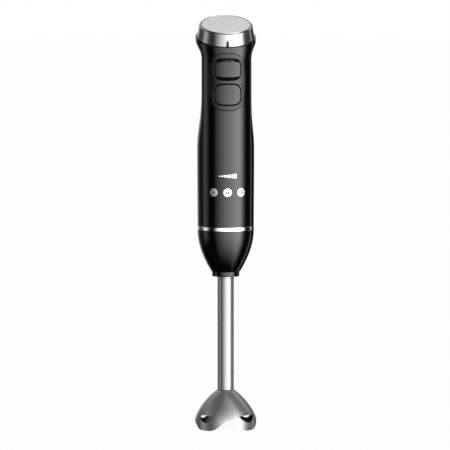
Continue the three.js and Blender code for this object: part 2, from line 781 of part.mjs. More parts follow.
const intoDial = (geometry) => geometry.rotateX(DIAL_TILT).translate(0, 0, dialSeat);
const glandHeight = dialSeat - 20;
const glandNeck = 4.3;
const dialScrewCircle = cavityRadius - 6;
const dialScrewAngles = [90, 230, 310];
const dialBaseBottom = -3.4;
const boardHalfWidth = cavityRadius - 10.2;
const boardFront = -7.5;
const boardBack = boardFront + 1.6;
const boardBottom = motorTop + 20;
const boardTop = dialSeat - 20.2;

function onDialScrewCircle(geometry, degrees) {
  return intoDial(geometry.translate(dialScrewCircle, 0, 0).rotateZ(THREE.MathUtils.degToRad(degrees)));
}

function makeShells() {
  const wall = cut(grip(0), grip(SHELL_WALL, 2));
  const ribs = [motorBottom, motorTop - 10 + 6 + GAP].map((bottom) =>
    ring(MOTOR_RADIUS + 1, cavityRadius + 0.6, bottom, bottom + 1.7, MEDIUM),
  );
  const boss = (place, angle, bottom, top) => [
    place(disc(3.5, bottom, top, 10), angle),
    place(block([0, -1.5, bottom], [14, 1.5, top]), angle),
  ];
  const spigotBoss = (angle) =>
    boss(onScrewCircle, angle, shellBottom + flangeThickness + GAP, motorBottom - 0.5);
  const dialBoss = (angle) =>
    boss(onDialScrewCircle, angle, dialBaseBottom - GAP - 9, dialBaseBottom - GAP);
  const bores = [
    ...screwAngles.map((angle) => onScrewCircle(disc(1.6, shellBottom, motorBottom, 8), angle)),
    ...dialScrewAngles.map((angle) => onDialScrewCircle(disc(1.6, -13, 0, 8), angle)),
  ];
  const boardRail = (side) => {
    const railMiddle = side * (boardHalfWidth + 0.4);
    const slotMiddle = side * (boardHalfWidth - 1.5);
    return cut(
      block(
        [railMiddle - 1.9, boardBack - 3.4, boardBottom - 1],
        [railMiddle + 1.9, handleRadius, boardTop + 1],
      ),
      block(
        [slotMiddle - 1.8, boardFront - GAP, boardBottom - 0.4],
        [slotMiddle + 1.8, boardBack + GAP, boardTop + 2],
      ),
    );
  };
  const within = grip(SHELL_WALL / 2);
  const half = (side, bosses) => {
    const size = 3 * handleRadius;
    const near = side < 0 ? -size : GAP / 2;
    const far = side < 0 ? -GAP / 2 : size;
    const keep = block([-size, near, 0], [size, far, 2 * dialSeat]);
    const clearOfOtherHalf = join(common(within, keep), grip(SHELL_WALL + GAP));
    const extras = common(join(...bosses), clearOfOtherHalf);
    return cut(join(common(join(wall, ...ribs), keep), extras), ...bores);
  };
  const frontBosses = [...[225, 315].flatMap(spigotBoss), ...[230, 310].flatMap(dialBoss)];
  const rearBosses = [...[45, 135].flatMap(spigotBoss), ...dialBoss(90), boardRail(-1), boardRail(1)];
  const panelHole = prismAlongY(panelOutline(GAP), -2 * handleRadius, -4);
  const glandHole = new THREE.CylinderGeometry(glandNeck + GAP, glandNeck + GAP, 40, COARSE)
    .translate(0, 30, glandHeight);
  add("front_shell", "gloss", cut(half(-1, frontBosses), panelHole));
  add("rear_shell", "gloss", cut(half(1, rearBosses), glandHole));
}

function makePanel() {
  const plate = curvedPlate(panelOutline(0), -PANEL_PROUD, panelBackInset);
  const flange = curvedPlate(panelOutline(1.8), panelFlangeInset, panelBackInset);
  const holes = [lowHeight, turboHeight].map((height) =>
    prismAlongY(buttonOutline(height, 0.25), -2 * handleRadius, -4),
  );
  add("button_panel", "softTouch", cut(join(plate, flange), ...holes));
}

/** One push button with its switch: the stem presses the switch's plunger. */
function makeButton(name, height) {
  const skirtBack = 6;
  const flangeFront = panelBackInset + GAP;
  const switchBack = boardFront - GAP;
  const switchFront = switchBack - 6.2;
  const plungerFront = switchFront - BUTTON_TRAVEL - GAP;
  const plungerBack = switchFront + 1.8;
  const wellBack = plungerBack + BUTTON_TRAVEL + GAP;
  const cap = join(
    curvedPlate(buttonOutline(height, 0), -BUTTON_PROUD, skirtBack),
    curvedPlate(buttonOutline(height, 1.3), flangeFront, flangeFront + 1.2),
  );
  const pocket = curvedPlate(buttonOutline(height, -1.3), 1, skirtBack + 1);
  const stemFront = 0.4 - handleRadius;
  const stemLength = plungerFront - GAP - stemFront;
  const stem = new THREE.CylinderGeometry(2, 2, stemLength, 12)
    .translate(0, stemFront + stemLength / 2, height);
  add(`${name}_button`, "softTouch", join(cut(cap, pocket), stem));

  const body = block([-6.4, switchFront, height - 3.2], [6.4, switchBack, height + 3.2]);
  const well = block([-1.7, switchFront - 1, height - 1.2], [1.7, wellBack, height + 1.2]);
  add(`${name}_switch`, "darkPlastic", cut(body, well));
  const plunger = block([-1.4, plungerFront, height - 0.9], [1.4, plungerBack, height + 0.9]);
  add(`${name}_plunger`, "nylon", plunger);
}

function makeElectronics() {
  const face = boardBack + GAP;
  const board = block([-boardHalfWidth, boardFront, boardBottom], [boardHalfWidth, boardBack, boardTop]);
  add("control_board", "board", board);
  add(
    "suppression_capacitor",
    "capacitor",
    block([-9, face, boardBottom + 12], [9, face + 10, boardBottom + 26]),
  );
  const sinkBottom = boardTop - 22;
  const fins = [-7.2, -2.4, 2.4, 7.2].map((x) =>
    block([x - 0.7, face + 5, sinkBottom], [x + 0.7, face + 13, boardTop - 3]),
  );
  const sink = join(
    block([-4.5, face, sinkBottom + 3], [4.5, face + 5, boardTop - 6]),
    block([-8, face + 4.5, sinkBottom], [8, face + 6.5, boardTop - 3]),
    ...fins,
  );
  add("heat_sink", "aluminium", sink);
}

/** Grommet in the rear shell: a flange inside, a neck in the wall and a tapered sleeve outside. */
function makeGland() {
  const wallOutside = gripRadius(Math.PI, glandHeight);
  const wallInside = wallOutside - SHELL_WALL;
  const bore = 3.3;
  const gland = revolve([
    [bore, wallInside - 3],
    [glandNeck + 1.6, wallInside - 3],
    [glandNeck + 1.6, wallInside - 1.4],
    [glandNeck, wallInside - 1.4],
    [glandNeck, wallOutside + GAP],
    [glandNeck + 1.2, wallOutside + GAP],
    [glandNeck + 1.2, wallOutside + 1.6],
    [glandNeck + 0.3, handleRadius + 2.7],
    [bore, handleRadius + 2.7],
  ]);
  add("cord_gland", "rubber", gland.rotateX(-Math.PI / 2).translate(0, 0, glandHeight));
}

// ---- Speed dial, drawn in the frame of its own tilted axis ----
function makeDialBase() {
  const baseTop = -0.6;
  const plate = common(
    intoDial(disc(2 * handleRadius, dialBaseBottom, baseTop)),
    grip(SHELL_WALL + 3 * GAP, 2),
  );
  const screwHoles = dialScrewAngles.flatMap((angle) => [
    onDialScrewCircle(disc(1.7, dialBaseBottom - 1, 1, 10), angle),
    onDialScrewCircle(disc(2.75, baseTop - 1.9, 1, 10), angle),
  ]);
  const shaftHoleTool = intoDial(disc(POT_SHAFT_RADIUS + 0.5, dialBaseBottom - 1, 1));
  add("dial_base", "darkPlastic", cut(plate, shaftHoleTool, ...screwHoles));
  dialScrewAngles.forEach((angle, i) => {
    const fastener = screw(0, 10).rotateX(Math.PI).translate(0, 0, baseTop - 0.1);
    add(`dial_screw_${i + 1}`, "screw", onDialScrewCircle(fastener, angle));
  });
}

const pointerOutline = (halfWidth, bottom, top) => {
  const round = Array.from({ length: 9 }, (_, i) => {
    const angle = (Math.PI * i) / 8;
    return [halfWidth * Math.cos(angle), top - halfWidth + halfWidth * Math.sin(angle)];
  });
  return outlineOf([[halfWidth, bottom], ...round, [-halfWidth, bottom]]);
};

function makeDial() {
  const bore = POT_SHAFT_RADIUS + RUN_FIT;
  const shoulder = DIAL_RADIUS - DIAL_TAPER;
  const lip = PLATE_RADIUS + GAP;
  const seat = DIAL_HEIGHT - 1.2;
  const cap = revolve(
    [
      [0, seat - 3],
      [bore, seat - 3],
      [bore, 1],
      [6, 1],
      [6, seat - 2],
      [shoulder - 2.6, seat - 2],
      [DIAL_RADIUS - 2.2, GAP],
      [DIAL_RADIUS, GAP],
      [DIAL_RADIUS - 0.05, 1],
      [shoulder, DIAL_HEIGHT - 2.6],
      [shoulder - 0.35, DIAL_HEIGHT - 1.4],
      [shoulder - 0.9, DIAL_HEIGHT - 0.5],
      [lip + 0.5, DIAL_HEIGHT],
      [lip, DIAL_HEIGHT - 0.2],
      [lip, seat],
      [0, seat],
    ],
    FINE,
  );
  const notch = prismAlongY(pointerOutline(1.4, -1, 6.3), -2 * DIAL_RADIUS, -DIAL_RADIUS + 1.4);
  add("dial_cap", "chrome", cut(cap, notch), dialGroup);
  const pointer = prismAlongY(pointerOutline(1.1, 0.8, 5.9), -DIAL_RADIUS + 0.5, -DIAL_RADIUS + 1.1);
  add("dial_pointer", "darkPlastic", pointer, dialGroup);
  const plate = revolve(
    [
      [0, seat + GAP],
      [PLATE_RADIUS - 0.3, seat + GAP],
      [PLATE_RADIUS, seat + 0.5],
      [PLATE_RADIUS, DIAL_HEIGHT - 0.4],
      [PLATE_RADIUS - 0.4, DIAL_HEIGHT - 0.1],
      [0, DIAL_HEIGHT - 0.1],
    ],
    FINE,
  );
  add("dial_plate", "satin", plate, dialGroup);

  const potTop = dialBaseBottom - GAP;
  const potBottom = potTop - 9.5;
  const pot = revolve([
    [0, potBottom],
    [8, potBottom],
    [8, potTop],
    [bore, potTop],
    [bore, potBottom + 1.5],
    [0, potBottom + 1.5],
  ]);
  add("speed_pot", "darkPlastic", pot, dialGroup);
  add("pot_shaft", "steel", disc(POT_SHAFT_RADIUS, potBottom + 1.8, seat - 3.3), dialGroup);
}

// ---- Assembly, from the feet up ----
makeGuard();
makeLowerBearing();
const shaftBottom = makeBlade();
makeShaftTube();
makeCone();
makeSocketLiner();
const shaftTop = makeDriveSocket();
add("drive_shaft", "steel", disc(SHAFT_RADIUS, shaftBottom, shaftTop));
makeSpigot();
makeDriveDog();
makeFan();
makeMotor();
makeShells();
makePanel();
makeButton("low", lowHeight);
makeButton("turbo", turboHeight);
makeElectronics();
makeGland();
makeDialBase();
makeDial();

export default blender;
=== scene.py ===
"""Visual model of an immersion blender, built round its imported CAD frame.

Shapes are worked out in millimetres, as surfaces on grids, and are put into meshes in metres.
"""

import json
import math

import bmesh
import bpy
import numpy as np
from bpy.props import FloatProperty, FloatVectorProperty, IntProperty, PointerProperty
from bpy.types import Operator, Panel, PropertyGroup
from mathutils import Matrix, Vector


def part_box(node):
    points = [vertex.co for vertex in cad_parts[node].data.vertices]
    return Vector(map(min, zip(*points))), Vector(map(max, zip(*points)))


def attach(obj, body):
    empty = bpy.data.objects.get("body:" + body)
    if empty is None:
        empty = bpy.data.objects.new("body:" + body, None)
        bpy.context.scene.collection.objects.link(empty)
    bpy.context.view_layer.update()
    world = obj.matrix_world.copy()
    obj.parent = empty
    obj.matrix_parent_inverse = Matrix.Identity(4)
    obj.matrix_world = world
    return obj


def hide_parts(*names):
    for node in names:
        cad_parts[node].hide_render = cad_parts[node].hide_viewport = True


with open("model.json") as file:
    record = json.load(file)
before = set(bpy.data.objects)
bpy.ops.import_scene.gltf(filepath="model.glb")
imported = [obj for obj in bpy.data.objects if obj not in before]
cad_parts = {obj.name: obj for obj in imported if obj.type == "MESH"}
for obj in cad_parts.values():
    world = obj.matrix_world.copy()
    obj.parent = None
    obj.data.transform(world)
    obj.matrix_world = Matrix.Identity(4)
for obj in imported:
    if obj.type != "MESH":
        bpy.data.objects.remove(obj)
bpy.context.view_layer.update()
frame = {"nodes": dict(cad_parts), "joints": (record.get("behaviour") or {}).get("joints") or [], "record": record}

bl_info = {
    "name": "Immersion Blender",
    "version": (1, 0, 0),
    "blender": (4, 5, 0),
    "location": "View3D > Sidebar > Blender",
    "description": "Builds the visible pieces and finishes of an immersion blender",
    "category": "Object",
}

MM = 0.001


# ---- Sizes read from the frame, in millimetres ----

def low(node, axis="z"):
    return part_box(node)[0]["xyz".index(axis)] / MM


def high(node, axis="z"):
    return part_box(node)[1]["xyz".index(axis)] / MM


def centre(node):
    return (high(node) + low(node)) / 2


def half_span(node):
    return (high(node) - low(node)) / 2


GUARD_HEIGHT = high("blade_guard")
GUARD_RADIUS = high("blade_guard", "x")
TUBE_RADIUS = high("shaft_tube", "x")
TUBE_BOTTOM = low("shaft_tube")
TUBE_TOP = high("shaft_tube")
CONE_BOTTOM = low("coupling_cone")
CONE_TOP = high("coupling_cone")
HANDLE_RADIUS = high("coupling_cone", "x")
BAND_RADIUS = high("trim_band", "x")
BAND_BOTTOM = low("trim_band")
BAND_TOP = high("trim_band")
SHELL_BOTTOM = low("front_shell")
DIAL_JOINT = next(joint for joint in frame["joints"] if joint["name"] == "speed_dial")
DIAL_SEAT = DIAL_JOINT["pos_m"][2] / MM
DIAL_TILT = math.atan2(-DIAL_JOINT["axis"][1], DIAL_JOINT["axis"][2])
DIAL_RADIUS = high("dial_cap", "x")
PLATE_RADIUS = high("dial_plate", "x")
BUTTON_FLANGE = 1.3
BUTTON_HALF_WIDTH = high("low_button", "x") - BUTTON_FLANGE
BUTTON_HALF_HEIGHT = half_span("low_button") - BUTTON_FLANGE
LOW_BUTTON_MIDDLE = centre("low_button")
TURBO_BUTTON_MIDDLE = centre("turbo_button")
PANEL_FLANGE = 1.8
PANEL_HALF_WIDTH = high("button_panel", "x") - PANEL_FLANGE
PANEL_HALF_HEIGHT = half_span("button_panel") - PANEL_FLANGE
PANEL_MIDDLE = centre("button_panel")
GLAND_MIDDLE = centre("cord_gland")
GLAND_END = high("cord_gland", "y")
HANDLE_LENGTH = DIAL_SEAT - BAND_TOP
DIAL_SEAT_RADIUS = DIAL_RADIUS + 1.5
BLADE_MIDDLE = high("blade_nut") + 0.9

# Sizes of the visual pieces alone
DIAL_HEIGHT = 13.5
DIAL_TAPER = 1.8
PLATE_SEAT = DIAL_HEIGHT - 1.2
NOTCH_HALF_WIDTH = 1.4
NOTCH_TOP = 6.3
NOTCH_DEPTH = 1.2
POINTER_FACE = 27.7
BLADE_REACH = 21.0
BLADE_TURN = 0.3
BLADE_HALF = 0.6
SLOT_HALF_WIDTH = 10.3
SLOT_CORNER = 0.376
SLOT_RISE = 0.8
SLOT_FALL = -6.6
ARCH_HEIGHT = 10.2
PANEL_POWER = 3.0
BUTTON_POWER = 3.4
SHELL_GAP = 0.3
BUTTON_GAP = 0.5
PANEL_DEPTH = 3.8
BUTTON_DEPTH = 5.5
ICON_HEIGHT = 234.0
ICON_RADIUS = 4.05
ICON_TURN = 29
WEDGE_HEIGHT = 250.0
INDEX_HEIGHT = 372.7


class BlenderSizes(PropertyGroup):
    shell_wall: FloatProperty(
        name="Shell wall", description="Thickness of the two grip shells in millimetres",
        default=2.4, min=0.5,
    )
    guard_wall: FloatProperty(
        name="Guard wall", description="Thickness of the pressed steel guard in millimetres",
        default=1.2, min=0.3,
    )
    panel_proud: FloatProperty(
        name="Panel proud", description="How far the button panel stands out of the grip in millimetres",
        default=0.4,
    )
    button_proud: FloatProperty(
        name="Button proud", description="How far the buttons stand out of the grip in millimetres",
        default=0.9,
    )
    seam: FloatProperty(
        name="Seam", description="Width of the line between the two grip shells in millimetres",
        default=0.16,
    )
    fineness: IntProperty(
        name="Fineness", description="Facets round the turned pieces",
        default=144, min=24,
    )
    light: FloatProperty(
        name="Studio light", description="Strength of the softboxes",
        default=1.0, min=0.0,
    )


class BlenderColours(PropertyGroup):
    plastic: FloatVectorProperty(
        name="Gloss plastic", description="Colour of the grip shells and the coupling cone",
        default=(0.0016, 0.0016, 0.0018), subtype="COLOR",
    )
    panel: FloatVectorProperty(
        name="Soft touch", description="Colour of the button panel and the buttons",
        default=(0.0030, 0.0030, 0.0032), subtype="COLOR",
    )
    steel: FloatVectorProperty(
        name="Stainless", description="Colour of the tube and the guard",
        default=(0.31, 0.31, 0.315), subtype="COLOR",
    )
    chrome: FloatVectorProperty(
        name="Chrome", description="Colour of the speed dial and the trim band",
        default=(0.38, 0.38, 0.39), subtype="COLOR",
    )


def sizes():
    return bpy.context.scene.blender_sizes


def colours():
    return bpy.context.scene.blender_colours


# ---- Surfaces ----

def ease(start, end, value):
    """Smooth step: 0 up to start, 1 from end on, and 3t^2 - 2t^3 between."""
    t = np.clip((value - start) / (end - start), 0, 1)
    return t * t * (3 - 2 * t)


def fillet(distance, radius):
    """Drop of a rounded edge: a quarter circle of the radius over that distance from the edge."""
    inside = radius - np.clip(distance, 0, radius)
    return radius - np.sqrt(radius * radius - inside * inside)


def lines(start, *stretches):
    """Grid lines from a start: each stretch is given as its number of steps, then its end."""
    steps, stops = stretches[::2], (start, *stretches[1::2])
    parts = [np.linspace(a, b, n, endpoint=False) for a, b, n in zip(stops, stops[1:], steps)]
    return np.concatenate([*parts, stops[-1:]])


def edged(half, soft, steps):
    """Grid lines across a piece, close together in its rounded edges."""
    return lines(-half, 6, soft - half, steps, half - soft, 6, half)


def between(grid_lines):
    """The middles of the stretches between grid lines."""
    return (grid_lines[1:] + grid_lines[:-1]) / 2


def bezier(controls, steps):
    """A cubic Bezier curve: points, and its unit normal on the side away from the axis."""
    a, b, c, d = np.array(controls, float)
    t = np.linspace(0, 1, steps)[:, None]
    point = (1 - t) ** 3 * a + 3 * t * (1 - t) ** 2 * b + 3 * t * t * (1 - t) * c + t ** 3 * d
    along = (1 - t) ** 2 * (b - a) + 2 * t * (1 - t) * (c - b) + t * t * (d - c)
    along /= np.linalg.norm(along, axis=1)[:, None]
    normal = np.stack((np.abs(along[:, 1]), -along[:, 0] * np.sign(along[:, 1])), axis=1)
    return point, normal


def arc(middle, radius, start, end, steps=7):
    """Points of a circle's arc between two angles in degrees."""
    angle = np.radians(np.linspace(start, end, steps))
    return np.stack((middle[0] + radius * np.cos(angle), middle[1] + radius * np.sin(angle)), axis=1)


def carried(radius, angle, height):
    """Points at a radius and height round the Z axis. The angle is from the front, towards +X."""
    ways = np.broadcast_arrays(radius * np.sin(angle), -radius * np.cos(angle), height)
    return np.stack(ways, axis=-1).reshape(-1, 3)


def grid_quads(rows, columns, wrap=False, close=False):
    """Quads of a grid of points. wrap joins the last column to the first, close the last row."""
    i = np.arange(rows if close else rows - 1)[:, None]
    j = np.arange(columns if wrap else columns - 1)[None, :]
    up, right = (i + 1) % rows, (j + 1) % columns
    corners = (i * columns + j, i * columns + right, up * columns + right, up * columns + j)
    return np.stack([c + 0 * i + 0 * j for c in corners], axis=-1)


def welded(points, quads):
    """Points that lie together become one: which points stay, and the quads between those."""
    _, first, place = np.unique(np.round(points, 4), axis=0, return_index=True, return_inverse=True)
    return first, place.reshape(-1)[quads]


def add_mesh(name, points, quads, smooth_angle=40.0):
    """A mesh object in metres from points in millimetres. Doubles are merged and normals face out."""
    mesh = bpy.data.meshes.new(name)
    mesh.from_pydata((np.asarray(points, float) * MM).tolist(), [], np.asarray(quads).reshape(-1, 4).tolist())
    shape = bmesh.new()
    shape.from_mesh(mesh)
    bmesh.ops.remove_doubles(shape, verts=shape.verts, dist=2e-6)
    bmesh.ops.dissolve_degenerate(shape, edges=shape.edges, dist=1e-7)
    bmesh.ops.recalc_face_normals(shape, faces=shape.faces)
    if shape.calc_volume(signed=True) < 0:
        bmesh.ops.reverse_faces(shape, faces=shape.faces)
    shape.to_mesh(mesh)
    shape.free()
    mesh.shade_smooth()
    mesh.set_sharp_from_angle(angle=math.radians(smooth_angle))
    piece = bpy.data.objects.new(name, mesh)
    bpy.context.scene.collection.objects.link(piece)
    return piece


def walled(name, outside, inside, quads, smooth_angle=40.0):
    """A closed wall between two sheets with the same grid: each open edge is joined across."""
    first, quads = welded(outside, quads.reshape(-1, 4))
    outside, inside = outside[first], inside[first]
    count = len(outside)
    starts = quads.reshape(-1)
    ends = np.roll(quads, -1, axis=1).reshape(-1)
    real = starts != ends
    starts, ends = starts[real], ends[real]
    key = np.minimum(starts, ends) * count + np.maximum(starts, ends)
    _, place, uses = np.unique(key, return_inverse=True, return_counts=True)
    open_edge = uses[place.reshape(-1)] == 1
    starts, ends = starts[open_edge], ends[open_edge]
    rims = np.stack((ends, starts, starts + count, ends + count), axis=1)
    faces = np.concatenate((quads, quads[:, ::-1] + count, rims))
    return add_mesh(name, np.concatenate((outside, inside)), faces, smooth_angle)


def turned(name, profile, closed=True, segments=None, place=None):
    """A profile of [radius, height] points carried round the Z axis. An open one ends on the axis."""
    profile = np.asarray(profile, float)
    around = segments or sizes().fineness
    angle = np.linspace(0, 2 * np.pi, around, endpoint=False)
    points = carried(profile[:, 0, None], angle, profile[:, 1, None])
    points = place(points) if place else points
    return add_mesh(name, points, grid_quads(len(profile), around, True, closed))


def on_dial(points):
    """Points of the dial's own upright frame, leant back by the dial's tilt about its seat."""
    c, s = math.cos(DIAL_TILT), math.sin(DIAL_TILT)
    x, y, z = points.T
    return np.stack((x, y * c - z * s, y * s + z * c + DIAL_SEAT), axis=1)


def near_hole(across, up, reach):
    """1 inside the square |a|, |b| <= 1 of a hole, fading to 0 at its reach."""
    return (1 - ease(1, reach, np.abs(across))) * (1 - ease(1, 1.14, np.abs(up)))


def squircled(across, up, power, blend):
    """Draws the square |a|, |b| <= 1 of a grid into the squircle |a|^n + |b|^n = 1, by a blend."""
    square = np.maximum(np.abs(across), np.abs(up))
    round_ = (np.abs(across) ** power + np.abs(up) ** power) ** (1 / power)
    factor = 1 + blend * (square / np.maximum(round_, 1e-9) - 1)
    return across * factor, up * factor


# ---- The grip ----

def grip_radius(angle, height):
    """Distance of the grip's skin from the axis. The angle is from the front, towards +X.

    An ellipse that flares out to the dial's seat, straight below it, from which a smooth
    scoop takes an egg-shaped waist in the upper half.
    """
    sine, cosine = np.sin(angle), np.cos(angle)
    seat = DIAL_SEAT - HANDLE_RADIUS * cosine * math.tan(DIAL_TILT)
    flare = 1 - ease(3, 18, seat - height)
    belly = 0.35 * ease(SHELL_BOTTOM, SHELL_BOTTOM + 0.35 * HANDLE_LENGTH, height)
    straight = HANDLE_RADIUS + belly
    side = straight + flare * (DIAL_SEAT_RADIUS - straight)
    front = straight + flare * (DIAL_SEAT_RADIUS * math.cos(DIAL_TILT) - straight)
    full = 1 / np.hypot(sine / side, cosine / front)
    egg_middle = 0.47 * HANDLE_RADIUS
    egg_width = HANDLE_RADIUS - 3.1
    egg_length = egg_middle + HANDLE_RADIUS - 3
    a = (sine / egg_width) ** 2 + (cosine / egg_length) ** 2
    b = egg_middle * cosine / egg_length ** 2
    c = (egg_middle / egg_length) ** 2 - 1
    over = full - (b + np.sqrt(b * b - a * c)) / a
    scoop = (over + np.hypot(over, 0.8)) / 2
    rise = ease(DIAL_SEAT - 0.59 * HANDLE_LENGTH, DIAL_SEAT - 0.28 * HANDLE_LENGTH, height)
    return full - scoop * rise * (1 - flare)


def grip_angle(across, height):
    """The angle at which the skin is that far across from the middle, by fixed-point steps."""
    angle = np.arcsin(np.clip(across / HANDLE_RADIUS, -0.95, 0.95))
    for _ in range(6):
        angle = np.arcsin(np.clip(across / grip_radius(angle, height), -0.98, 0.98))
    return angle


def rim_height(angle):
    """Height of the shells' slanted top at an angle."""
    height = DIAL_SEAT - HANDLE_RADIUS * np.cos(angle) * math.tan(DIAL_TILT)
    for _ in range(3):
        height = DIAL_SEAT - grip_radius(angle, height) * np.cos(angle) * math.tan(DIAL_TILT)
    return height


def round_grip(angle, height, lift):
    """Points at a height over the skin, from their angle and height."""
    return carried(grip_radius(angle, height) + lift, angle, height)


def grip_half(name, turn, hole):
    """One shell: a grid of angle and height whose lines bend round its opening.

    turn is the shell's middle angle, 0 or pi. hole is (half width, half height, middle,
    power): the opening is a squircle, seen from the front or back, with walls along Y.
    """
    half_width, half_height, middle, power = hole
    quarter = np.pi / 2 - sizes().seam / (2 * HANDLE_RADIUS)
    spread = (quarter * HANDLE_RADIUS - half_width) / half_width
    in_hole, beside = (46, 48) if turn == 0 else (16, 76)
    across = lines(-1 - spread, beside, -1, in_hole, 1, beside, 1 + spread)
    below = (SHELL_BOTTOM - middle) / half_height
    up = lines(below, 96, -1.25, 10, -1, 64, 1, 30, 2)
    a, b = np.meshgrid(across, up)
    top_angle = turn + np.sign(a) * np.clip(np.abs(a) / (1 + spread), 0, 1) * quarter
    top = (rim_height(top_angle) - middle) / half_height
    b = np.where(b > 1, 1 + (b - 1) * (top - 1), b)
    a, b = squircled(a, b, power, near_hole(a, b, 1.6))
    height = middle + half_height * b
    cos_turn = math.cos(turn)
    edge = grip_angle(half_width, height) if turn == 0 else half_width / HANDLE_RADIUS
    inside = grip_angle(half_width * np.clip(a, -1, 1), height) if turn == 0 else edge * np.clip(a, -1, 1)
    beyond = np.sign(a) * (edge + (quarter - edge) * (np.abs(a) - 1) / spread)
    angle = turn + cos_turn * np.where(np.abs(a) <= 1, inside, beyond)
    keep = (np.abs(between(across)) > 1) | (np.abs(between(up)) > 1)[:, None]
    outside = round_grip(angle, height, 0)
    within = round_grip(angle, height, -sizes().shell_wall)
    depth = np.sqrt(np.maximum(np.hypot(within[:, 0], within[:, 1]) ** 2 - outside[:, 0] ** 2, 1))
    straight = np.stack((outside[:, 0], -cos_turn * depth, outside[:, 2]), axis=1)
    by_hole = 1 - ease(1, 1 + 0.6 * spread, np.abs(a)).reshape(-1, 1)
    within = within + by_hole * (straight - within)
    return walled(name, outside, within, grid_quads(*a.shape)[keep])


def edge_distance(across, up, half_width, half_height):
    """How far inside a square outline a grid point is, in millimetres."""
    return np.minimum(half_width - np.abs(across), half_height - np.abs(up))


def panel_inlay():
    """The panel: the skin raised by a fixed amount inside a squircle, with two squircle holes."""
    width, height = PANEL_HALF_WIDTH, PANEL_HALF_HEIGHT
    hole_width, hole_height = BUTTON_HALF_WIDTH + BUTTON_GAP, BUTTON_HALF_HEIGHT + BUTTON_GAP
    soft, lip = 0.7, 0.4
    marks = [LOW_BUTTON_MIDDLE - PANEL_MIDDLE, TURBO_BUTTON_MIDDLE - PANEL_MIDDLE]
    side = [4, hole_width + lip, 10, width - soft, 6, width]
    mirrored = [-width, 6, soft - width, 10, -hole_width - lip, 4, -hole_width]
    across = lines(*mirrored, 44, hole_width, *side)
    foot, head = marks[0] - hole_height, marks[1] + hole_height
    holes = [foot, 36, marks[0] + hole_height, 12, marks[1] - hole_height, 36, head]
    below = [-height, 6, soft - height, 10, foot - lip, 4]
    above = [4, head + lip, 10, height - soft, 6, height]
    up = lines(*below, *holes, *above)
    x, z = np.meshgrid(across, up)
    drop = fillet(edge_distance(x, z, width, height), soft)
    for mark in marks:
        beside = np.maximum(np.abs(x) - hole_width, np.abs(z - mark) - hole_height)
        drop = np.maximum(drop, np.where(beside >= 0, fillet(beside, lip), 0))
    middle_x, middle_z = np.meshgrid(between(across), between(up))
    keep = np.ones(middle_x.shape, bool)
    for mark in marks:
        keep &= (np.abs(middle_x) > hole_width) | (np.abs(middle_z - mark) > hole_height)
        a, b = x / hole_width, (z - mark) / hole_height
        near = near_hole(a, b, 1.3)
        a, b = squircled(a, b, BUTTON_POWER, near)
        x, z = np.where(near > 0, a * hole_width, x), np.where(near > 0, b * hole_height + mark, z)
    a, b = x / width, z / height
    outer = ease(0.84, 1, np.maximum(np.abs(a), np.abs(b)))
    a, b = squircled(a, b, PANEL_POWER, outer)
    z = PANEL_MIDDLE + b * height
    angle = grip_angle(a * width, z)
    outside = round_grip(angle, z, sizes().panel_proud - drop)
    within = round_grip(angle, z, 0) + [0, PANEL_DEPTH, 0]
    return walled("panel_inlay", outside, within, grid_quads(*x.shape)[keep])


def button_cap(name, mark, slope, depth):
    """A button: the raised skin inside a squircle, with sloping banks at its top and bottom.

    slope is how far each bank reaches in from the edge, and depth how far it falls.
    """
    width, height = BUTTON_HALF_WIDTH - 0.1, BUTTON_HALF_HEIGHT - 0.1
    soft = 0.9
    x, z = np.meshgrid(edged(width, soft, 44), edged(height, soft, 50))
    drop = fillet(edge_distance(x, z, width, height), soft)
    bow = slope * (0.55 + 0.45 * (1 - (x / width) ** 2))
    bank = depth * (1 - ease(0, 1, (height - np.abs(z)) / np.maximum(bow, 0.01)))
    a, b = x / width, z / height
    a, b = squircled(a, b, BUTTON_POWER, ease(0, 1, np.maximum(np.abs(a), np.abs(b))))
    heights = mark + b * height
    angle = grip_angle(a * width, heights)
    dish = 0.25 * (1 - ease(0, 1, np.hypot(a, b)))
    outside = round_grip(angle, heights, sizes().button_proud - drop - bank - dish)
    within = round_grip(angle, heights, 0) + [0, BUTTON_DEPTH, 0]
    return walled(name, outside, within, grid_quads(*x.shape))


# ---- Dial ----

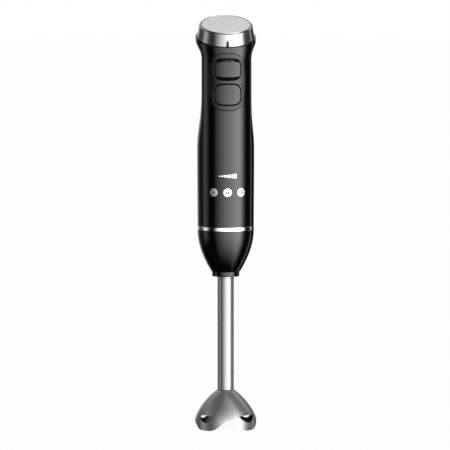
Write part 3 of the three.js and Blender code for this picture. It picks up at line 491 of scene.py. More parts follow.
def dial_cap():
    """The cap: a tapered ring with a rounded shoulder and a recess for its plate.

    A notch is sunk where the distance to its outline, a strip with a round top, is negative.
    """
    shoulder = DIAL_RADIUS - DIAL_TAPER
    lip = PLATE_RADIUS + SHELL_GAP
    low_edge = arc((DIAL_RADIUS - 0.5, 0.8), 0.5, -90, 0, 5)
    wall = np.stack((np.linspace(DIAL_RADIUS, shoulder, 60), np.linspace(0.9, DIAL_HEIGHT - 2.3, 60)), axis=1)
    rounding = arc((shoulder - 1.75, DIAL_HEIGHT - 2.3), 1.8, 0, 62, 9)
    crest = arc((lip + 0.55, DIAL_HEIGHT - 0.55), 0.5, 70, 180, 7)
    closing = np.array([[lip + 0.05, PLATE_SEAT], [6, PLATE_SEAT], [6, PLATE_SEAT - 2]])
    skirt = np.array([[shoulder - 2.6, PLATE_SEAT - 2], [DIAL_RADIUS - 2.2, 0.3]])
    profile = np.concatenate((low_edge, wall, rounding, crest, closing, skirt))
    near = math.radians(5.5)
    angle = lines(-near, 90, near, sizes().fineness, 2 * np.pi - near)[:-1]
    radius, height = (profile[:, k, None] + 0 * angle for k in (0, 1))
    x, y = radius * np.sin(angle), -radius * np.cos(angle)
    above = height - (NOTCH_TOP - NOTCH_HALF_WIDTH)
    outline = np.where(above > 0, np.hypot(x, above), np.abs(x)) - NOTCH_HALF_WIDTH
    outer_skin = np.arange(len(profile))[:, None] < len(low_edge) + len(wall)
    sunk = NOTCH_DEPTH * (1 - ease(-0.12, 0.12, outline)) * outer_skin * (y < 0)
    points = np.stack((x, y + sunk, height), axis=-1).reshape(-1, 3)
    quads = grid_quads(len(profile), len(angle), True, True)
    return add_mesh("speed_dial_cap", on_dial(points), quads, 35)


def dial_plate():
    """The round plate: a shallow dish with a rounded rim, closed underneath."""
    dish = np.linspace(0, PLATE_RADIUS - 0.5, 24)
    top = DIAL_HEIGHT - 0.22 + 0.12 * (dish / PLATE_RADIUS) ** 2
    rim = arc((PLATE_RADIUS - 0.35, DIAL_HEIGHT - 0.45), 0.35, 80, 0, 6)
    base = PLATE_SEAT + 0.3
    under = [[PLATE_RADIUS, base + 0.05], [PLATE_RADIUS - 0.2, base], [0, base]]
    profile = [*np.stack((dish, top), axis=1), *rim, *under]
    return turned("speed_dial_plate", profile, closed=False, place=on_dial)


def dial_pointer():
    """The bar in the notch: a strip with a round top, as rings that shrink to its middle."""
    half_width, bottom, top = 1.05, 0.9, 5.8
    turn = np.linspace(0, np.pi, 19)
    outline = np.concatenate((
        np.stack((half_width * np.cos(turn), top - half_width + half_width * np.sin(turn)), axis=1),
        [[-half_width, bottom], [-half_width / 2, bottom], [half_width / 2, bottom], [half_width, bottom]],
    ))
    middle = np.array([0, (top + bottom) / 2])
    share = np.array([1.0, 1.0, 0.9, 0.0])[:, None, None]
    depth = np.array([0.8, 0.2, 0.05, 0.0])[:, None] - POINTER_FACE
    flat = middle + share * (outline - middle)
    front = np.stack((flat[..., 0], depth + 0 * flat[..., 0], flat[..., 1]), axis=-1)
    back = front[:1].copy()
    back[..., 0] *= 0
    back[..., 2] = middle[1]
    rings = np.concatenate((back, front))
    quads = grid_quads(len(rings), len(outline), True)
    return add_mesh("dial_index_bar", on_dial(rings.reshape(-1, 3)), quads)


# ---- Turned pieces ----

def trim_band():
    """The bright ring: a flat band with rounded edges, closed by its inner face."""
    inner, soft = HANDLE_RADIUS - 4.0, 0.45
    lower = arc((BAND_RADIUS - soft, BAND_BOTTOM + soft), soft, -90, 0)
    upper = arc((BAND_RADIUS - soft, BAND_TOP - soft), soft, 0, 90)
    return turned("bright_band", [[inner, BAND_BOTTOM], *lower, *upper, [inner, BAND_TOP]])


def coupling_cone():
    """The cone: a collar, then a Bezier curve out to the grip's radius, hollow above its floor."""
    collar, length = TUBE_RADIUS + 5.5, CONE_TOP - CONE_BOTTOM
    hole = TUBE_RADIUS + 0.15
    controls = [
        [collar + 0.8, CONE_BOTTOM + 5],
        [collar + 7.7, CONE_BOTTOM + 0.362 * length],
        [HANDLE_RADIUS, CONE_BOTTOM + 0.658 * length],
        [HANDLE_RADIUS, CONE_TOP],
    ]
    outside, normal = bezier(controls, 72)
    inside = (outside - 2 * normal)[::-1]
    crest = [[HANDLE_RADIUS - 0.06, CONE_TOP], [HANDLE_RADIUS - 0.3, CONE_TOP]]
    foot = arc((collar - 0.8, CONE_BOTTOM + 0.7), 0.7, -90, 0)
    step = arc((collar + 0.25, CONE_BOTTOM + 4.55), 0.35, 180, 90, 5)
    profile = [
        [hole, CONE_BOTTOM], *foot, *step, *outside[:-1], *crest, *inside,
        [collar - 2, CONE_BOTTOM + 2.2], [hole, CONE_BOTTOM + 2.2],
    ]
    return turned("coupling_skirt", profile)


def shaft_tube():
    """The bare tube: a thin wall with a rounded lower end."""
    bore = TUBE_RADIUS - 1
    lower = arc((TUBE_RADIUS - 0.4, TUBE_BOTTOM + 0.4), 0.4, -90, 0)
    height = np.linspace(TUBE_BOTTOM + 0.6, TUBE_TOP, 12)
    wall = np.stack((TUBE_RADIUS + 0 * height, height), axis=1)
    return turned("stick_tube", [[bore, TUBE_BOTTOM], *lower, *wall, [bore, TUBE_TOP]], segments=96)


def cord_gland():
    """The rubber sleeve: a flanged taper with three rings round it, turned about the Y axis."""
    skin = float(grip_radius(np.array(np.pi), np.array(GLAND_MIDDLE)))
    wall = sizes().shell_wall
    bore, neck = 3.3, 4.3
    along = np.linspace(0, 1, 60)
    start, end = skin + 0.9, GLAND_END
    taper = neck + 1.2 - 0.9 * along
    ribs = 0.28 * np.cos(2 * np.pi * 3 * along)
    sleeve = np.stack((taper + ribs - 0.28, start + (end - start) * along), axis=1)
    profile = [
        [bore, skin - wall - 3], [neck + 1.6, skin - wall - 3], [neck + 1.6, skin - wall - 1.4],
        [neck, skin - wall - 1.4], [neck, skin + 0.3], [neck + 1.2, skin + 0.3],
        *sleeve, [bore + 0.3, end], [bore, end - 0.3],
    ]

    def along_y(points):
        x, y, z = points.T
        return np.stack((x, z, GLAND_MIDDLE - y), axis=1)

    return turned("cord_sleeve", profile, segments=72, place=along_y)


# ---- Guard and blade ----

def guard_profile():
    """The bell's outside: a Bezier curve out from the tube, then straight down to its feet."""
    controls = [
        [TUBE_RADIUS + 0.3, GUARD_HEIGHT],
        [1.95 * TUBE_RADIUS, GUARD_HEIGHT - 4.5],
        [GUARD_RADIUS, GUARD_HEIGHT * 0.44],
        [GUARD_RADIUS, GUARD_HEIGHT * 0.16],
    ]
    curve, normal = bezier(controls, 200)
    normal = np.stack((normal[:, 0], np.abs(normal[:, 1])), axis=1)
    foot = [[GUARD_RADIUS, 0.0]]
    return np.concatenate((curve, foot)), np.concatenate((normal, [[1.0, 0.0]]))


def blade_guard():
    """The guard, as two grids of angle and height: crown to waist, and waist to rim.

    The waist is one line except at the four slots, where the upper grid ends on a shallow
    arc and the lower grid starts on a deep one. The rim rises in an arch between the feet.
    """
    curve, normal = guard_profile()
    heights = curve[::-1, 1]
    angle = np.linspace(0, 2 * np.pi, 480, endpoint=False)
    from_foot = np.abs((np.degrees(angle) % 90) - 45)
    waist = SLOT_CORNER * GUARD_HEIGHT
    waist_radius = np.interp(waist, heights, curve[::-1, 0])
    across = waist_radius * np.sin(np.radians(from_foot)) / SLOT_HALF_WIDTH
    lens = np.clip(1 - across ** 2, 0, 1)
    rim = ARCH_HEIGHT * np.sin(np.pi / 2 * (from_foot / 45) ** 1.7) ** 2
    down = np.linspace(0, 1, 44)[:, None]
    upper = GUARD_HEIGHT + (waist + SLOT_RISE * lens - GUARD_HEIGHT) * down
    start = waist + SLOT_FALL * lens
    lower = start + (rim - start) * np.linspace(0, 1, 22)[:, None]
    wall = sizes().guard_wall
    parts, faces, count = [], [], 0
    for height in (upper, lower):
        radius = np.interp(height, heights, curve[::-1, 0])
        side = np.interp(height, heights, normal[::-1, 0])
        rise = np.interp(height, heights, normal[::-1, 1])
        inner_radius = radius - wall * side
        inner_height = np.where(height > rim + 0.01, height - wall * rise, height)
        sheets = ((radius, height), (inner_radius, inner_height))
        parts.append([carried(r, angle, h) for r, h in sheets])
        faces.append(grid_quads(len(height), len(angle), True).reshape(-1, 4) + count)
        count += height.size
    crown = TUBE_RADIUS - 1
    top_ring = [carried(crown, angle, z) for z in (GUARD_HEIGHT, GUARD_HEIGHT - wall)]
    here = np.arange(len(angle))
    after = (here + 1) % len(angle)
    faces.append(np.stack((here + count, after + count, after, here), axis=1))
    outside, inside = (np.concatenate((parts[0][k], parts[1][k], top_ring[k])) for k in (0, 1))
    return walled("bell_guard", outside, inside, np.concatenate(faces), 50)


def blade_wing(turn, lift):
    """One wing: two quadratic curves joined across, ground thin towards its leading edge.

    Beyond the hub it bends up or down on a straight slope. Gives the upper and lower sheets.
    """
    reach = BLADE_REACH
    u = np.linspace(0, 1, 48)[:, None, None]
    weights = np.concatenate(((1 - u) ** 2, 2 * u * (1 - u), u * u), axis=-1)
    front = weights @ np.array([[4.8, -4.4], [0.62 * reach, -0.42 * reach], [reach, 0.04 * reach]])
    back = weights @ np.array([[4.8, 4.4], [0.6 * reach, -0.02 * reach], [0.93 * reach, 0.12 * reach]])
    v = np.array([0, 0.12, 0.24, 0.36, 0.5, 0.65, 0.8, 0.94, 1.0])[None, :]
    flat = front * (1 - v[..., None]) + back * v[..., None]
    x, y = flat[..., 0], flat[..., 1]
    beyond = np.maximum(x - 6, 0)
    bend = math.tan(lift) * beyond ** 2 / (beyond + 1.5)
    half = BLADE_HALF * np.clip(0.06 + v / 0.4, 0, 1) * np.clip(1.15 - 0.35 * u[..., 0] ** 4, 0, 1)
    c, s = math.cos(turn), math.sin(turn)
    around = x * c - y * s, x * s + y * c
    sheets = [np.stack((*around, BLADE_MIDDLE + bend + side * half), axis=-1) for side in (1, -1)]
    return [sheet.reshape(-1, 3) for sheet in sheets] + [grid_quads(*x.shape)]


def blade():
    """Two wings and a hub disc joined into one solid."""
    hole, disc, soft = 2.7, 6.5, 0.2
    bottom, top = BLADE_MIDDLE - BLADE_HALF, BLADE_MIDDLE + BLADE_HALF
    hub = turned("cutting_blade", [
        [hole, bottom], [disc - soft, bottom], [disc, bottom + soft],
        [disc, top - soft], [disc - soft, top], [hole, top],
    ], segments=64)
    for turn, lift in ((BLADE_TURN, 0.27), (BLADE_TURN + math.pi, -0.12)):
        wing = walled("wing", *blade_wing(turn, lift), 30)
        joiner = hub.modifiers.new("join", "BOOLEAN")
        joiner.operation = "UNION"
        joiner.solver = "EXACT"
        joiner.object = wing
        depsgraph = bpy.context.evaluated_depsgraph_get()
        joined = bpy.data.meshes.new_from_object(hub.evaluated_get(depsgraph))
        hub.modifiers.clear()
        hub.data = joined
        bpy.data.objects.remove(wing)
    hub.data.name = "cutting_blade"
    hub.data.set_sharp_from_angle(angle=math.radians(30))
    return hub


# ---- Printed marks ----

def printed(name, across, height, half_width, half_height, power, lift=0.03):
    """A thin patch on the skin inside a squircle outline, as a bent square grid."""
    line = np.linspace(-1, 1, 25)
    a, b = np.meshgrid(line, line)
    a, b = squircled(a, b, power, np.maximum(np.abs(a), np.abs(b)))
    heights = height + b * half_height
    angle = grip_angle(across, heights) + a * half_width / HANDLE_RADIUS
    outside = round_grip(angle, heights, lift)
    within = round_grip(angle, heights, -0.1)
    return walled(name, outside, within, grid_quads(*a.shape))


# ---- Shader groups ----

def feed(tree, socket, value):
    """Links an input to another node's output, or sets its value."""
    if isinstance(value, bpy.types.NodeSocket):
        tree.links.new(value, socket)
    else:
        socket.default_value = value


def add_node(tree, kind, *fed, **values):
    """A node with its first inputs fed in order, and its properties and other inputs by name."""
    node = tree.nodes.new("ShaderNode" + kind)
    for name, value in values.items():
        if hasattr(node, name):
            setattr(node, name, value)
        else:
            feed(tree, node.inputs[name.replace("_", " ")], value)
    for socket, value in zip(node.inputs, fed):
        feed(tree, socket, value)
    return node


def maths(tree, operation, *fed):
    return add_node(tree, "Math", *fed, operation=operation).outputs[0]


def mapped(tree, value, low_end, high_end):
    """A value carried from its range to 0 up to 1, and held there."""
    return add_node(tree, "MapRange", Value=value, From_Min=low_end, From_Max=high_end).outputs["Result"]


def own_place(tree):
    return add_node(tree, "TexCoord").outputs["Object"]


def noise(tree, place, **values):
    return add_node(tree, "TexNoise", Vector=place, **values).outputs["Fac"]


def new_group(maker, inputs, *outputs):
    """An empty node group, named as its maker, with float inputs (name and default) and outputs."""
    tree = bpy.data.node_groups.new(maker.__name__, "ShaderNodeTree")
    for label, default in inputs.items():
        socket = tree.interface.new_socket(label, in_out="INPUT", socket_type="NodeSocketFloat")
        socket.default_value = default
    for label in outputs:
        tree.interface.new_socket(label, in_out="OUTPUT", socket_type="NodeSocketFloat")
    return tree, tree.nodes.new("NodeGroupInput").outputs, tree.nodes.new("NodeGroupOutput").inputs


def moulded_grain():
    """Fine moulded grain: two sizes of noise as a value round 0.5 and a height."""
    tree, given, made = new_group(moulded_grain, {"Scale": 900.0}, "Value", "Height")
    place = own_place(tree)
    fine = noise(tree, place, Scale=given["Scale"], Detail=3.0, Roughness=0.6)
    broad = noise(tree, place, Scale=45.0, Detail=2.0)
    mixer = add_node(tree, "Mix", 0.6, data_type="FLOAT")
    feed(tree, mixer.inputs[2], broad)
    feed(tree, mixer.inputs[3], fine)
    feed(tree, made["Value"], mixer.outputs[0])
    feed(tree, made["Height"], fine)
    return tree


def edge_wear():
    """Edge wear: a mask of convex edges, broken up by noise."""
    tree, given, made = new_group(edge_wear, {"Start": 0.53, "End": 0.62}, "Mask")
    shape = add_node(tree, "NewGeometry")
    sharp = mapped(tree, shape.outputs["Pointiness"], given["Start"], given["End"])
    patches = noise(tree, own_place(tree), Scale=260.0, Detail=4.0)
    feed(tree, made["Mask"], maths(tree, "MULTIPLY", sharp, patches))
    return tree


def handling():
    """Handling: broad soft patches where a finish has been touched, and fine specks of dust."""
    tree, given, made = new_group(handling, {"Scale": 35.0}, "Smudge", "Dust")
    place = own_place(tree)
    patches = noise(tree, place, Scale=given["Scale"], Detail=5.0, Roughness=0.55, Distortion=0.8)
    specks = add_node(tree, "TexVoronoi", Vector=place, Scale=420.0)
    split = add_node(tree, "SeparateXYZ", add_node(tree, "NewGeometry").outputs["Normal"])
    dots = mapped(tree, specks.outputs["Distance"], 0.11, 0.06)
    facing = mapped(tree, split.outputs["Z"], 0.1, 0.9)
    feed(tree, made["Smudge"], mapped(tree, patches, 0.42, 0.68))
    feed(tree, made["Dust"], maths(tree, "MULTIPLY", dots, facing))
    return tree


def turning_lines():
    """Turning lines: noise that depends only on the radius and height about the given axis."""
    tree, given, made = new_group(turning_lines, {"Density": 4000.0}, "Height")
    tree.interface.new_socket("Vector", in_out="INPUT", socket_type="NodeSocketVector")
    split = add_node(tree, "SeparateXYZ", given["Vector"]).outputs
    squares = [maths(tree, "MULTIPLY", split[axis], split[axis]) for axis in "XY"]
    radius = maths(tree, "SQRT", maths(tree, "ADD", *squares))
    joined = add_node(tree, "CombineXYZ", X=radius, Z=split["Z"])
    feed(tree, made["Height"], noise(tree, joined.outputs[0], Scale=given["Density"], Detail=2.0))
    return tree


def stripes():
    """Stacked stripes along Z: a wave's value, for windings, laminations and boards."""
    tree, given, made = new_group(stripes, {"Scale": 300.0}, "Value")
    wave = add_node(tree, "TexWave", bands_direction="Z", Vector=own_place(tree), Scale=given["Scale"],
                    Distortion=0.4, Detail=1.0)
    feed(tree, made["Value"], wave.outputs["Fac"])
    return tree


def inner_painted_shade():
    """Painted shade on the inside: a mask of the faces whose normal points back to the Z axis, whose colour is
    darkened to stand in for shade.
    """
    tree, _, made = new_group(inner_painted_shade, {}, "Mask")
    flat = add_node(tree, "VectorMath", own_place(tree), (1.0, 1.0, 0.0), operation="MULTIPLY")
    outwards = add_node(tree, "VectorMath", flat.outputs[0], operation="NORMALIZE")
    normal = add_node(tree, "NewGeometry").outputs["Normal"]
    facing = add_node(tree, "VectorMath", normal, outwards.outputs[0], operation="DOT_PRODUCT")
    feed(tree, made["Mask"], mapped(tree, facing.outputs["Value"], -0.05, -0.2))
    return tree


def placed_group(tree, maker, **values):
    """The outputs of a shared group, which is made the first time that it is used."""
    group = bpy.data.node_groups.get(maker.__name__) or maker()
    return add_node(tree, "Group", node_tree=group, **values).outputs


# ---- Finishes ----

DUST_COLOUR = (0.3, 0.29, 0.27)


def blend_colour(tree, mask, first, second, strength):
    """A colour moved towards another one by a mask, at most by a strength."""
    mixer = add_node(tree, "Mix", maths(tree, "MULTIPLY", mask, strength), data_type="RGBA")
    for socket, colour in zip(mixer.inputs[6:8], (first, second)):
        feed(tree, socket, colour if isinstance(colour, bpy.types.NodeSocket) else (*colour, 1.0))
    return mixer.outputs[2]


def make_finish(name, colour, roughness, metallic=0.0, tone=0.25, grain=900.0, relief=0.02,
                wear=0.0, worn=(0.5, 0.5, 0.5), smudge=0.06, dust=0.0, lathe=None, tilt=0.0,
                bands=None, band_colour=None, inner=None):
    """A procedural material: two tones of one colour in a moulded grain, worn at its edges,
    smudged in its roughness and dusted on what faces up, with its grain, stripes or turning
    lines as its relief in millimetres."""
    material = bpy.data.materials.new("finish_" + name)
    material.use_nodes = True
    tree = material.node_tree
    shader = tree.nodes["Principled BSDF"]
    moulded = placed_group(tree, moulded_grain, Scale=grain)
    touched = placed_group(tree, handling)
    darker = tuple(channel * (1 - tone) for channel in colour)
    result = blend_colour(tree, moulded["Value"], colour, darker, 1.0)
    height = moulded["Height"]
    if bands:
        height = placed_group(tree, stripes, Scale=bands)["Value"]
        result = blend_colour(tree, height, result, band_colour, 0.8)
    if wear:
        result = blend_colour(tree, placed_group(tree, edge_wear)["Mask"], result, worn, wear)
    if dust:
        result = blend_colour(tree, touched["Dust"], result, DUST_COLOUR, dust)
    # Painted shade: faces that look back to the Z axis, the inside of the bell, are darkened to the inner colour.
    if inner:
        result = blend_colour(tree, placed_group(tree, inner_painted_shade)["Mask"], result, inner, 1.0)
    if lathe:
        leant = add_node(tree, "Mapping", vector_type="POINT", Vector=own_place(tree),
                         Rotation=(-tilt, 0.0, 0.0), Location=(0.0, -DIAL_SEAT * MM * math.sin(tilt), 0.0))
        height = placed_group(tree, turning_lines, Density=lathe, Vector=leant.outputs[0])["Height"]
    rough = add_node(tree, "MapRange", Value=touched["Smudge"], To_Min=roughness, To_Max=roughness + smudge)
    bump = add_node(tree, "Bump", Strength=1.0, Distance=relief * MM, Height=height)
    feed(tree, shader.inputs["Base Color"], result)
    feed(tree, shader.inputs["Metallic"], metallic)
    feed(tree, shader.inputs["Roughness"], rough.outputs["Result"])
    feed(tree, shader.inputs["Normal"], bump.outputs["Normal"])


def make_finishes():
    """Makes every finish. Those of the CAD nodes have the names of the record's material slots."""
    tint = colours()
    plastic, panel, steel, chrome = (tuple(c) for c in (tint.plastic, tint.panel, tint.steel, tint.chrome))
    grey, bright = (0.03, 0.03, 0.03), (0.75, 0.75, 0.76)
    soft = dict(tone=0.3, grain=2600, wear=0.03, worn=grey, dust=0.01)
    drawn = dict(tone=0.1, lathe=4200, relief=0.0012, wear=0.3, worn=bright, smudge=0.07)
    make_finish("gloss_black", plastic, 0.055, tone=0.3, grain=1500, relief=0.0002,
                wear=0.02, worn=grey, smudge=0.05, dust=0.01)
    make_finish("soft_touch_black", panel, 0.30, relief=0.0012, **soft)
    make_finish("button_black", panel, 0.15, relief=0.0008, **soft)
    make_finish("stainless", steel, 0.22, 0.72, **drawn)
    # The inner colour is painted shade on the inside of the bell.
    make_finish("guard_steel", steel, 0.24, 0.72, inner=(0.012, 0.012, 0.012), **drawn)
    make_finish("chrome", chrome, 0.09, 0.92, tone=0.06, lathe=5200, relief=0.0006, tilt=DIAL_TILT,
                wear=0.2, worn=bright, smudge=0.05)
    make_finish("bright_chrome", (0.94, 0.94, 0.95), 0.06, 1.0, tone=0.05, lathe=5200, relief=0.0004,
                wear=0.1, worn=bright, smudge=0.04)
    make_finish("satin_metal", (0.84, 0.84, 0.85), 0.36, 1.0, tone=0.08, lathe=5200, relief=0.003,
                tilt=DIAL_TILT, smudge=0.08)
    make_finish("blade_steel", (0.55, 0.55, 0.57), 0.2, 1.0, tone=0.14, grain=500, relief=0.003,
                wear=0.5, worn=bright, smudge=0.1)
    make_finish("bronze", (0.42, 0.22, 0.07), 0.34, 1.0, tone=0.3, grain=1400, relief=0.01)
    make_finish("rubber", (0.012, 0.012, 0.013), 0.7, tone=0.3, grain=1800, dust=0.1)
    make_finish("nylon", (0.74, 0.71, 0.62), 0.45, tone=0.12, grain=1100, relief=0.01, wear=0.2)
    make_finish("dark_plastic", (0.020, 0.021, 0.023), 0.42, tone=0.3, grain=1600, relief=0.012, dust=0.05)
    make_finish("screw_steel", (0.30, 0.31, 0.33), 0.3, 1.0, tone=0.3, grain=700, relief=0.006, wear=0.4)
    make_finish("copper", (0.52, 0.19, 0.07), 0.3, 1.0, tone=0.3, relief=0.1, bands=420,
                band_colour=(0.22, 0.06, 0.02))
    make_finish("magnet", (0.045, 0.046, 0.05), 0.5, 0.3, tone=0.4, grain=700)
    make_finish("lamination", (0.26, 0.27, 0.29), 0.42, 0.9, tone=0.2, relief=0.05, bands=300,
                band_colour=(0.05, 0.05, 0.055))
    make_finish("carbon", (0.018, 0.018, 0.019), 0.6, 0.2, tone=0.4)
    make_finish("board", (0.014, 0.10, 0.038), 0.42, grain=500, relief=0.01, bands=110,
                band_colour=(0.02, 0.16, 0.06))
    make_finish("capacitor", (0.55, 0.35, 0.05), 0.4, tone=0.15, grain=800, relief=0.01)
    make_finish("aluminium", (0.5, 0.51, 0.53), 0.36, 1.0, tone=0.15, grain=600, relief=0.01, wear=0.3)


# ---- Putting pieces on the frame ----

def put_finish(piece, name):
    piece.data.materials.clear()
    piece.data.materials.append(bpy.data.materials["finish_" + name])


def finished(piece, slot, body, *nodes, finish=None):
    """Gives a piece its finish and its body, and hides the CAD nodes that it stands for."""
    put_finish(piece, finish or slot)
    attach(piece, body)
    if nodes:
        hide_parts(*nodes)


class PieceOperator:
    """What the operators share."""

    bl_options = {"REGISTER", "UNDO"}


class BLENDER_OT_finishes(PieceOperator, Operator):
    """Makes the finishes and puts each CAD node's own on it"""

    bl_idname = "immersion.finishes"
    bl_label = "Finishes"

    def execute(self, context):
        make_finishes()
        for row in frame["record"]["subparts"]:
            put_finish(frame["nodes"][row["node"]], row["material_slot"])
        return {"FINISHED"}


class BLENDER_OT_grip(PieceOperator, Operator):
    """Makes the front and rear grip shells"""

    bl_idname = "immersion.grip"
    bl_label = "Grip shells"

    def execute(self, context):
        panel_hole = (PANEL_HALF_WIDTH + SHELL_GAP, PANEL_HALF_HEIGHT + SHELL_GAP, PANEL_MIDDLE, PANEL_POWER)
        gland_hole = (4.6, 4.6, GLAND_MIDDLE, 2.0)
        finished(grip_half("grip_front", 0.0, panel_hole), "gloss_black", "motor_unit", "front_shell")
        finished(grip_half("grip_rear", np.pi, gland_hole), "gloss_black", "motor_unit", "rear_shell")
        return {"FINISHED"}


class BLENDER_OT_panel(PieceOperator, Operator):
    """Makes the button panel and the two buttons"""

    bl_idname = "immersion.panel"
    bl_label = "Panel and buttons"

    def execute(self, context):
        finished(panel_inlay(), "soft_touch_black", "motor_unit", "button_panel")
        low_cap = button_cap("low_speed_button", LOW_BUTTON_MIDDLE, 1.0, 0.25)
        turbo_cap = button_cap("turbo_speed_button", TURBO_BUTTON_MIDDLE, 3.6, 1.5)
        finished(low_cap, "soft_touch_black", "low_button", "low_button", finish="button_black")
        finished(turbo_cap, "soft_touch_black", "turbo_button", "turbo_button", finish="button_black")
        return {"FINISHED"}


class BLENDER_OT_dial(PieceOperator, Operator):
    """Makes the speed dial's cap, plate and index bar"""

    bl_idname = "immersion.dial"
    bl_label = "Speed dial"

    def execute(self, context):
        finished(dial_cap(), "chrome", "dial", "dial_cap")
        finished(dial_plate(), "satin_metal", "dial", "dial_plate")
        finished(dial_pointer(), "dark_plastic", "dial", "dial_pointer")
        return {"FINISHED"}


class BLENDER_OT_stick(PieceOperator, Operator):
    """Makes the trim band, the coupling cone, the tube and the cord gland"""

    bl_idname = "immersion.stick"
    bl_label = "Turned pieces"

    def execute(self, context):
        finished(trim_band(), "chrome", "motor_unit", "trim_band", finish="bright_chrome")
        finished(coupling_cone(), "gloss_black", "stick", "coupling_cone")
        finished(shaft_tube(), "stainless", "stick", "shaft_tube")
        finished(cord_gland(), "rubber", "motor_unit", "cord_gland")
        return {"FINISHED"}


class BLENDER_OT_guard(PieceOperator, Operator):
    """Makes the blade guard and the blade"""

    bl_idname = "immersion.guard"
    bl_label = "Guard and blade"

    def execute(self, context):
        finished(blade_guard(), "stainless", "stick", "blade_guard", finish="guard_steel")
        finished(blade(), "blade_steel", "blade_unit", "blade")
        return {"FINISHED"}


class BLENDER_OT_marks(PieceOperator, Operator):
    """Makes the printed marks on the grip"""

    bl_idname = "immersion.marks"
    bl_label = "Printed marks"

    def execute(self, context):
        for place in range(3):
            turn = math.radians((place - 1) * ICON_TURN)
            across = HANDLE_RADIUS * math.sin(turn)
            disc = printed(f"icon_disc_{place + 1}", across, ICON_HEIGHT, ICON_RADIUS, ICON_RADIUS, 2.0)
            finished(disc, "satin_metal", "motor_unit")
            for bar in range(place + 1):
                side = HANDLE_RADIUS * math.sin(turn + (bar - place / 2) * 2.1 / HANDLE_RADIUS)
                length = 1.1 + 0.5 * bar
                mark = printed(f"icon_bar_{place + 1}_{bar + 1}", side, ICON_HEIGHT, 0.7, length, 2.6, 0.06)
                finished(mark, "gloss_black", "motor_unit")
        for place, side in enumerate((-1.0, 1.0)):
            line = printed(f"index_line_{place + 1}", side, INDEX_HEIGHT, 0.16, 1.4, 4.0)
            finished(line, "dark_plastic", "motor_unit")
        for step in range(7):
            half = 0.5 + 0.28 * step
            mark = printed(f"speed_wedge_{step + 1}", (step - 3) * 2.6, WEDGE_HEIGHT, 0.85, half, 6.0)
            finished(mark, "satin_metal", "motor_unit")
        return {"FINISHED"}


# ---- Stage ----
# A softbox has a light, in stops of (degrees from the front towards +X, strength), and a reach,
# in stops of (degrees above the horizon, share). The light behind has stops of its height alone.
FRONT_LIGHT = [
    (-54, 0.0), (-47, 0.35), (-40, 0.85), (-31, 1.5), (-14, 2.8), (0, 4.0), (18, 5.1), (36, 6.6),
    (48, 7.3), (58, 6.4), (66, 4.0), (72, 2.0), (80, 0.4), (86, 0.0),
]
FRONT_REACH = [
    (-60, 0.0), (-56, 0.05), (-52, 0.13), (-45, 0.3), (-32, 0.62), (-15, 0.95), (0, 1.0), (25, 0.95),
    (38, 0.55), (55, 0.2), (75, 0.12), (90, 0.1),
]
LEFT_LIGHT = [(-112, 0.1), (-103, 0.95), (-90, 1.05), (-80, 0.3), (-72, 0.0)]
LEFT_REACH = [(-24, 0.0), (-14, 0.65), (-6, 1.0), (10, 1.0), (32, 0.8), (48, 0.2), (66, 0.0)]
RIGHT_LIGHT = [(112, 0.0), (119, 0.7), (122, 1.3), (125, 0.7), (131, 0.0)]
RIGHT_REACH = [(-60, 0.0), (-45, 1.0), (-20, 0.8), (20, 0.6), (60, 0.2)]
REAR_LIGHT = [
    (-180, 1.0), (-165, 0.9), (-152, 0.5), (-143, 0.25), (-136, 0.0), (158, 0.0), (167, 0.6), (180, 1.0),
]
REAR_REACH = [(-70, 0.3), (-20, 0.8), (2, 1.0), (15, 0.4), (60, 0.3)]
SOFTBOXES = (
    (FRONT_LIGHT, FRONT_REACH), (LEFT_LIGHT, LEFT_REACH),
    (RIGHT_LIGHT, RIGHT_REACH), (REAR_LIGHT, REAR_REACH),
)
BACK_TOP_LIGHT = [(12, 0.0), (26, 0.5), (42, 0.95), (58, 0.7), (74, 0.25), (90, 0.15)]
SURROUND = 0.012
FLOOR_HEIGHT = -0.05
FLOOR_CLEARNESS = 0.95


def ramp(tree, stops, reach, degrees):
    """A curve of value against degrees, from stops in order, within plus or minus a reach."""
    share = mapped(tree, degrees, -reach, reach)
    node = add_node(tree, "ValToRGB", share)
    peak = max(value for _, value in stops)
    points = node.color_ramp.elements
    while len(points) < len(stops):
        points.new(0.5)
    for point, (place, value) in zip(points, stops):
        point.position = (place + reach) / (2 * reach)
        point.color = (value / peak, value / peak, value / peak, 1.0)
    return maths(tree, "MULTIPLY", node.outputs["Color"], peak)


def mixed_shaders(tree, output, share, first, second):
    """Sends a mix of two shaders to the tree's output: the share is how much of the second."""
    mixer = add_node(tree, "MixShader", share, first.outputs[0], second.outputs[0])
    add_node(tree, output, Surface=mixer.outputs[0])


def studio_world():
    """Softboxes as bands of a dark surround, by direction and elevation. The camera sees white."""
    world = bpy.data.worlds.new("studio")
    world.use_nodes = True
    tree = world.node_tree
    tree.nodes.clear()
    seen = add_node(tree, "TexCoord").outputs["Generated"]
    split = add_node(tree, "SeparateXYZ", seen).outputs
    forward = maths(tree, "MULTIPLY", split["Y"], -1.0)
    azimuth = maths(tree, "DEGREES", maths(tree, "ARCTAN2", split["X"], forward))
    elevation = maths(tree, "DEGREES", maths(tree, "ARCSINE", split["Z"]))
    softboxes = [
        (ramp(tree, light, 180, azimuth), ramp(tree, reach, 90, elevation)) for light, reach in SOFTBOXES
    ]
    softboxes.append((ramp(tree, BACK_TOP_LIGHT, 90, elevation), mapped(tree, forward, -0.15, -0.6)))
    level = SURROUND
    for light, reach in softboxes:
        level = maths(tree, "ADD", level, maths(tree, "MULTIPLY", light, reach))
    strength = maths(tree, "MULTIPLY", level, sizes().light)
    studio = add_node(tree, "Background", Strength=strength)
    backdrop = add_node(tree, "Background", Color=(1.0, 1.0, 1.0, 1.0))
    path = add_node(tree, "LightPath")
    mixed_shaders(tree, "OutputWorld", path.outputs["Is Camera Ray"], studio, backdrop)
    bpy.context.scene.world = world


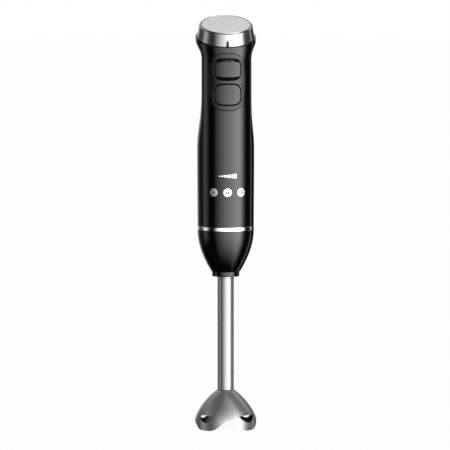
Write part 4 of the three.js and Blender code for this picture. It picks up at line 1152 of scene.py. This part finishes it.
def pale_floor():
    """A plain pale disc of floor: a matt film over the white backdrop, with a soft contact shadow.

    The camera sees through most of it, so that the stick still shows when it is pulled below.
    """
    angle = np.linspace(0, 2 * np.pi, 96, endpoint=False)
    points = carried(np.array([0.0, 400.0, 9000.0])[:, None], angle, FLOOR_HEIGHT)
    floor = add_mesh("pale_floor", points, grid_quads(3, len(angle), True))
    material = bpy.data.materials.new("pale_floor")
    material.use_nodes = True
    tree = material.node_tree
    tree.nodes.clear()
    matt = add_node(tree, "BsdfDiffuse", Color=(0.9, 0.9, 0.9, 1.0))
    clear = add_node(tree, "BsdfTransparent", Color=(1.0, 1.0, 1.0, 1.0))
    path = add_node(tree, "LightPath")
    share = maths(tree, "MULTIPLY", path.outputs["Is Camera Ray"], FLOOR_CLEARNESS)
    mixed_shaders(tree, "OutputMaterial", share, matt, clear)
    floor.data.materials.append(material)
    floor.visible_glossy = False


def studio_camera():
    """A long lens at the product view: a little to the left, and a little above."""
    turn, climb, distance = math.radians(-4.0), math.radians(4.8), 4.4
    back = Vector((math.sin(turn) * math.cos(climb), -math.cos(turn) * math.cos(climb), math.sin(climb)))
    right = Vector((math.cos(turn), math.sin(turn), 0))
    aim = Vector((0, 0, 0.2001)) - 0.00064 * right
    data = bpy.data.cameras.new("studio_camera")
    data.lens, data.sensor_width = 359.3, 36.0
    data.clip_start, data.clip_end = 0.1, 40.0
    camera = bpy.data.objects.new("studio_camera", data)
    camera.location = aim + distance * back
    camera.rotation_euler = (-back).to_track_quat("-Z", "Y").to_euler()
    bpy.context.scene.collection.objects.link(camera)
    bpy.context.scene.camera = camera


class BLENDER_OT_stage(PieceOperator, Operator):
    """Makes the floor, the softboxes and the camera"""

    bl_idname = "immersion.stage"
    bl_label = "Stage"

    def execute(self, context):
        studio_world()
        pale_floor()
        studio_camera()
        context.scene.view_settings.view_transform = "Standard"
        return {"FINISHED"}


STEPS = (
    BLENDER_OT_finishes, BLENDER_OT_grip, BLENDER_OT_panel, BLENDER_OT_dial,
    BLENDER_OT_stick, BLENDER_OT_guard, BLENDER_OT_marks, BLENDER_OT_stage,
)


class BLENDER_PT_build(Panel):
    """Lists the steps that build the blender"""

    bl_idname = "BLENDER_PT_build"
    bl_label = "Immersion Blender"
    bl_space_type = "VIEW_3D"
    bl_region_type = "UI"
    bl_category = "Blender"

    def draw(self, context):
        for group in (context.scene.blender_sizes, context.scene.blender_colours):
            for name in group.__annotations__:
                self.layout.prop(group, name)
        for step in STEPS:
            self.layout.operator(step.bl_idname)


CLASSES = (BlenderSizes, BlenderColours, *STEPS, BLENDER_PT_build)


def register():
    for cls in CLASSES:
        bpy.utils.register_class(cls)
    bpy.types.Scene.blender_sizes = PointerProperty(type=BlenderSizes)
    bpy.types.Scene.blender_colours = PointerProperty(type=BlenderColours)


def unregister():
    del bpy.types.Scene.blender_colours
    del bpy.types.Scene.blender_sizes
    for cls in reversed(CLASSES):
        bpy.utils.unregister_class(cls)


def main():
    register()
    for step in STEPS:
        group, name = step.bl_idname.split(".")
        getattr(getattr(bpy.ops, group), name)()


if __name__ == "__main__":
    main()
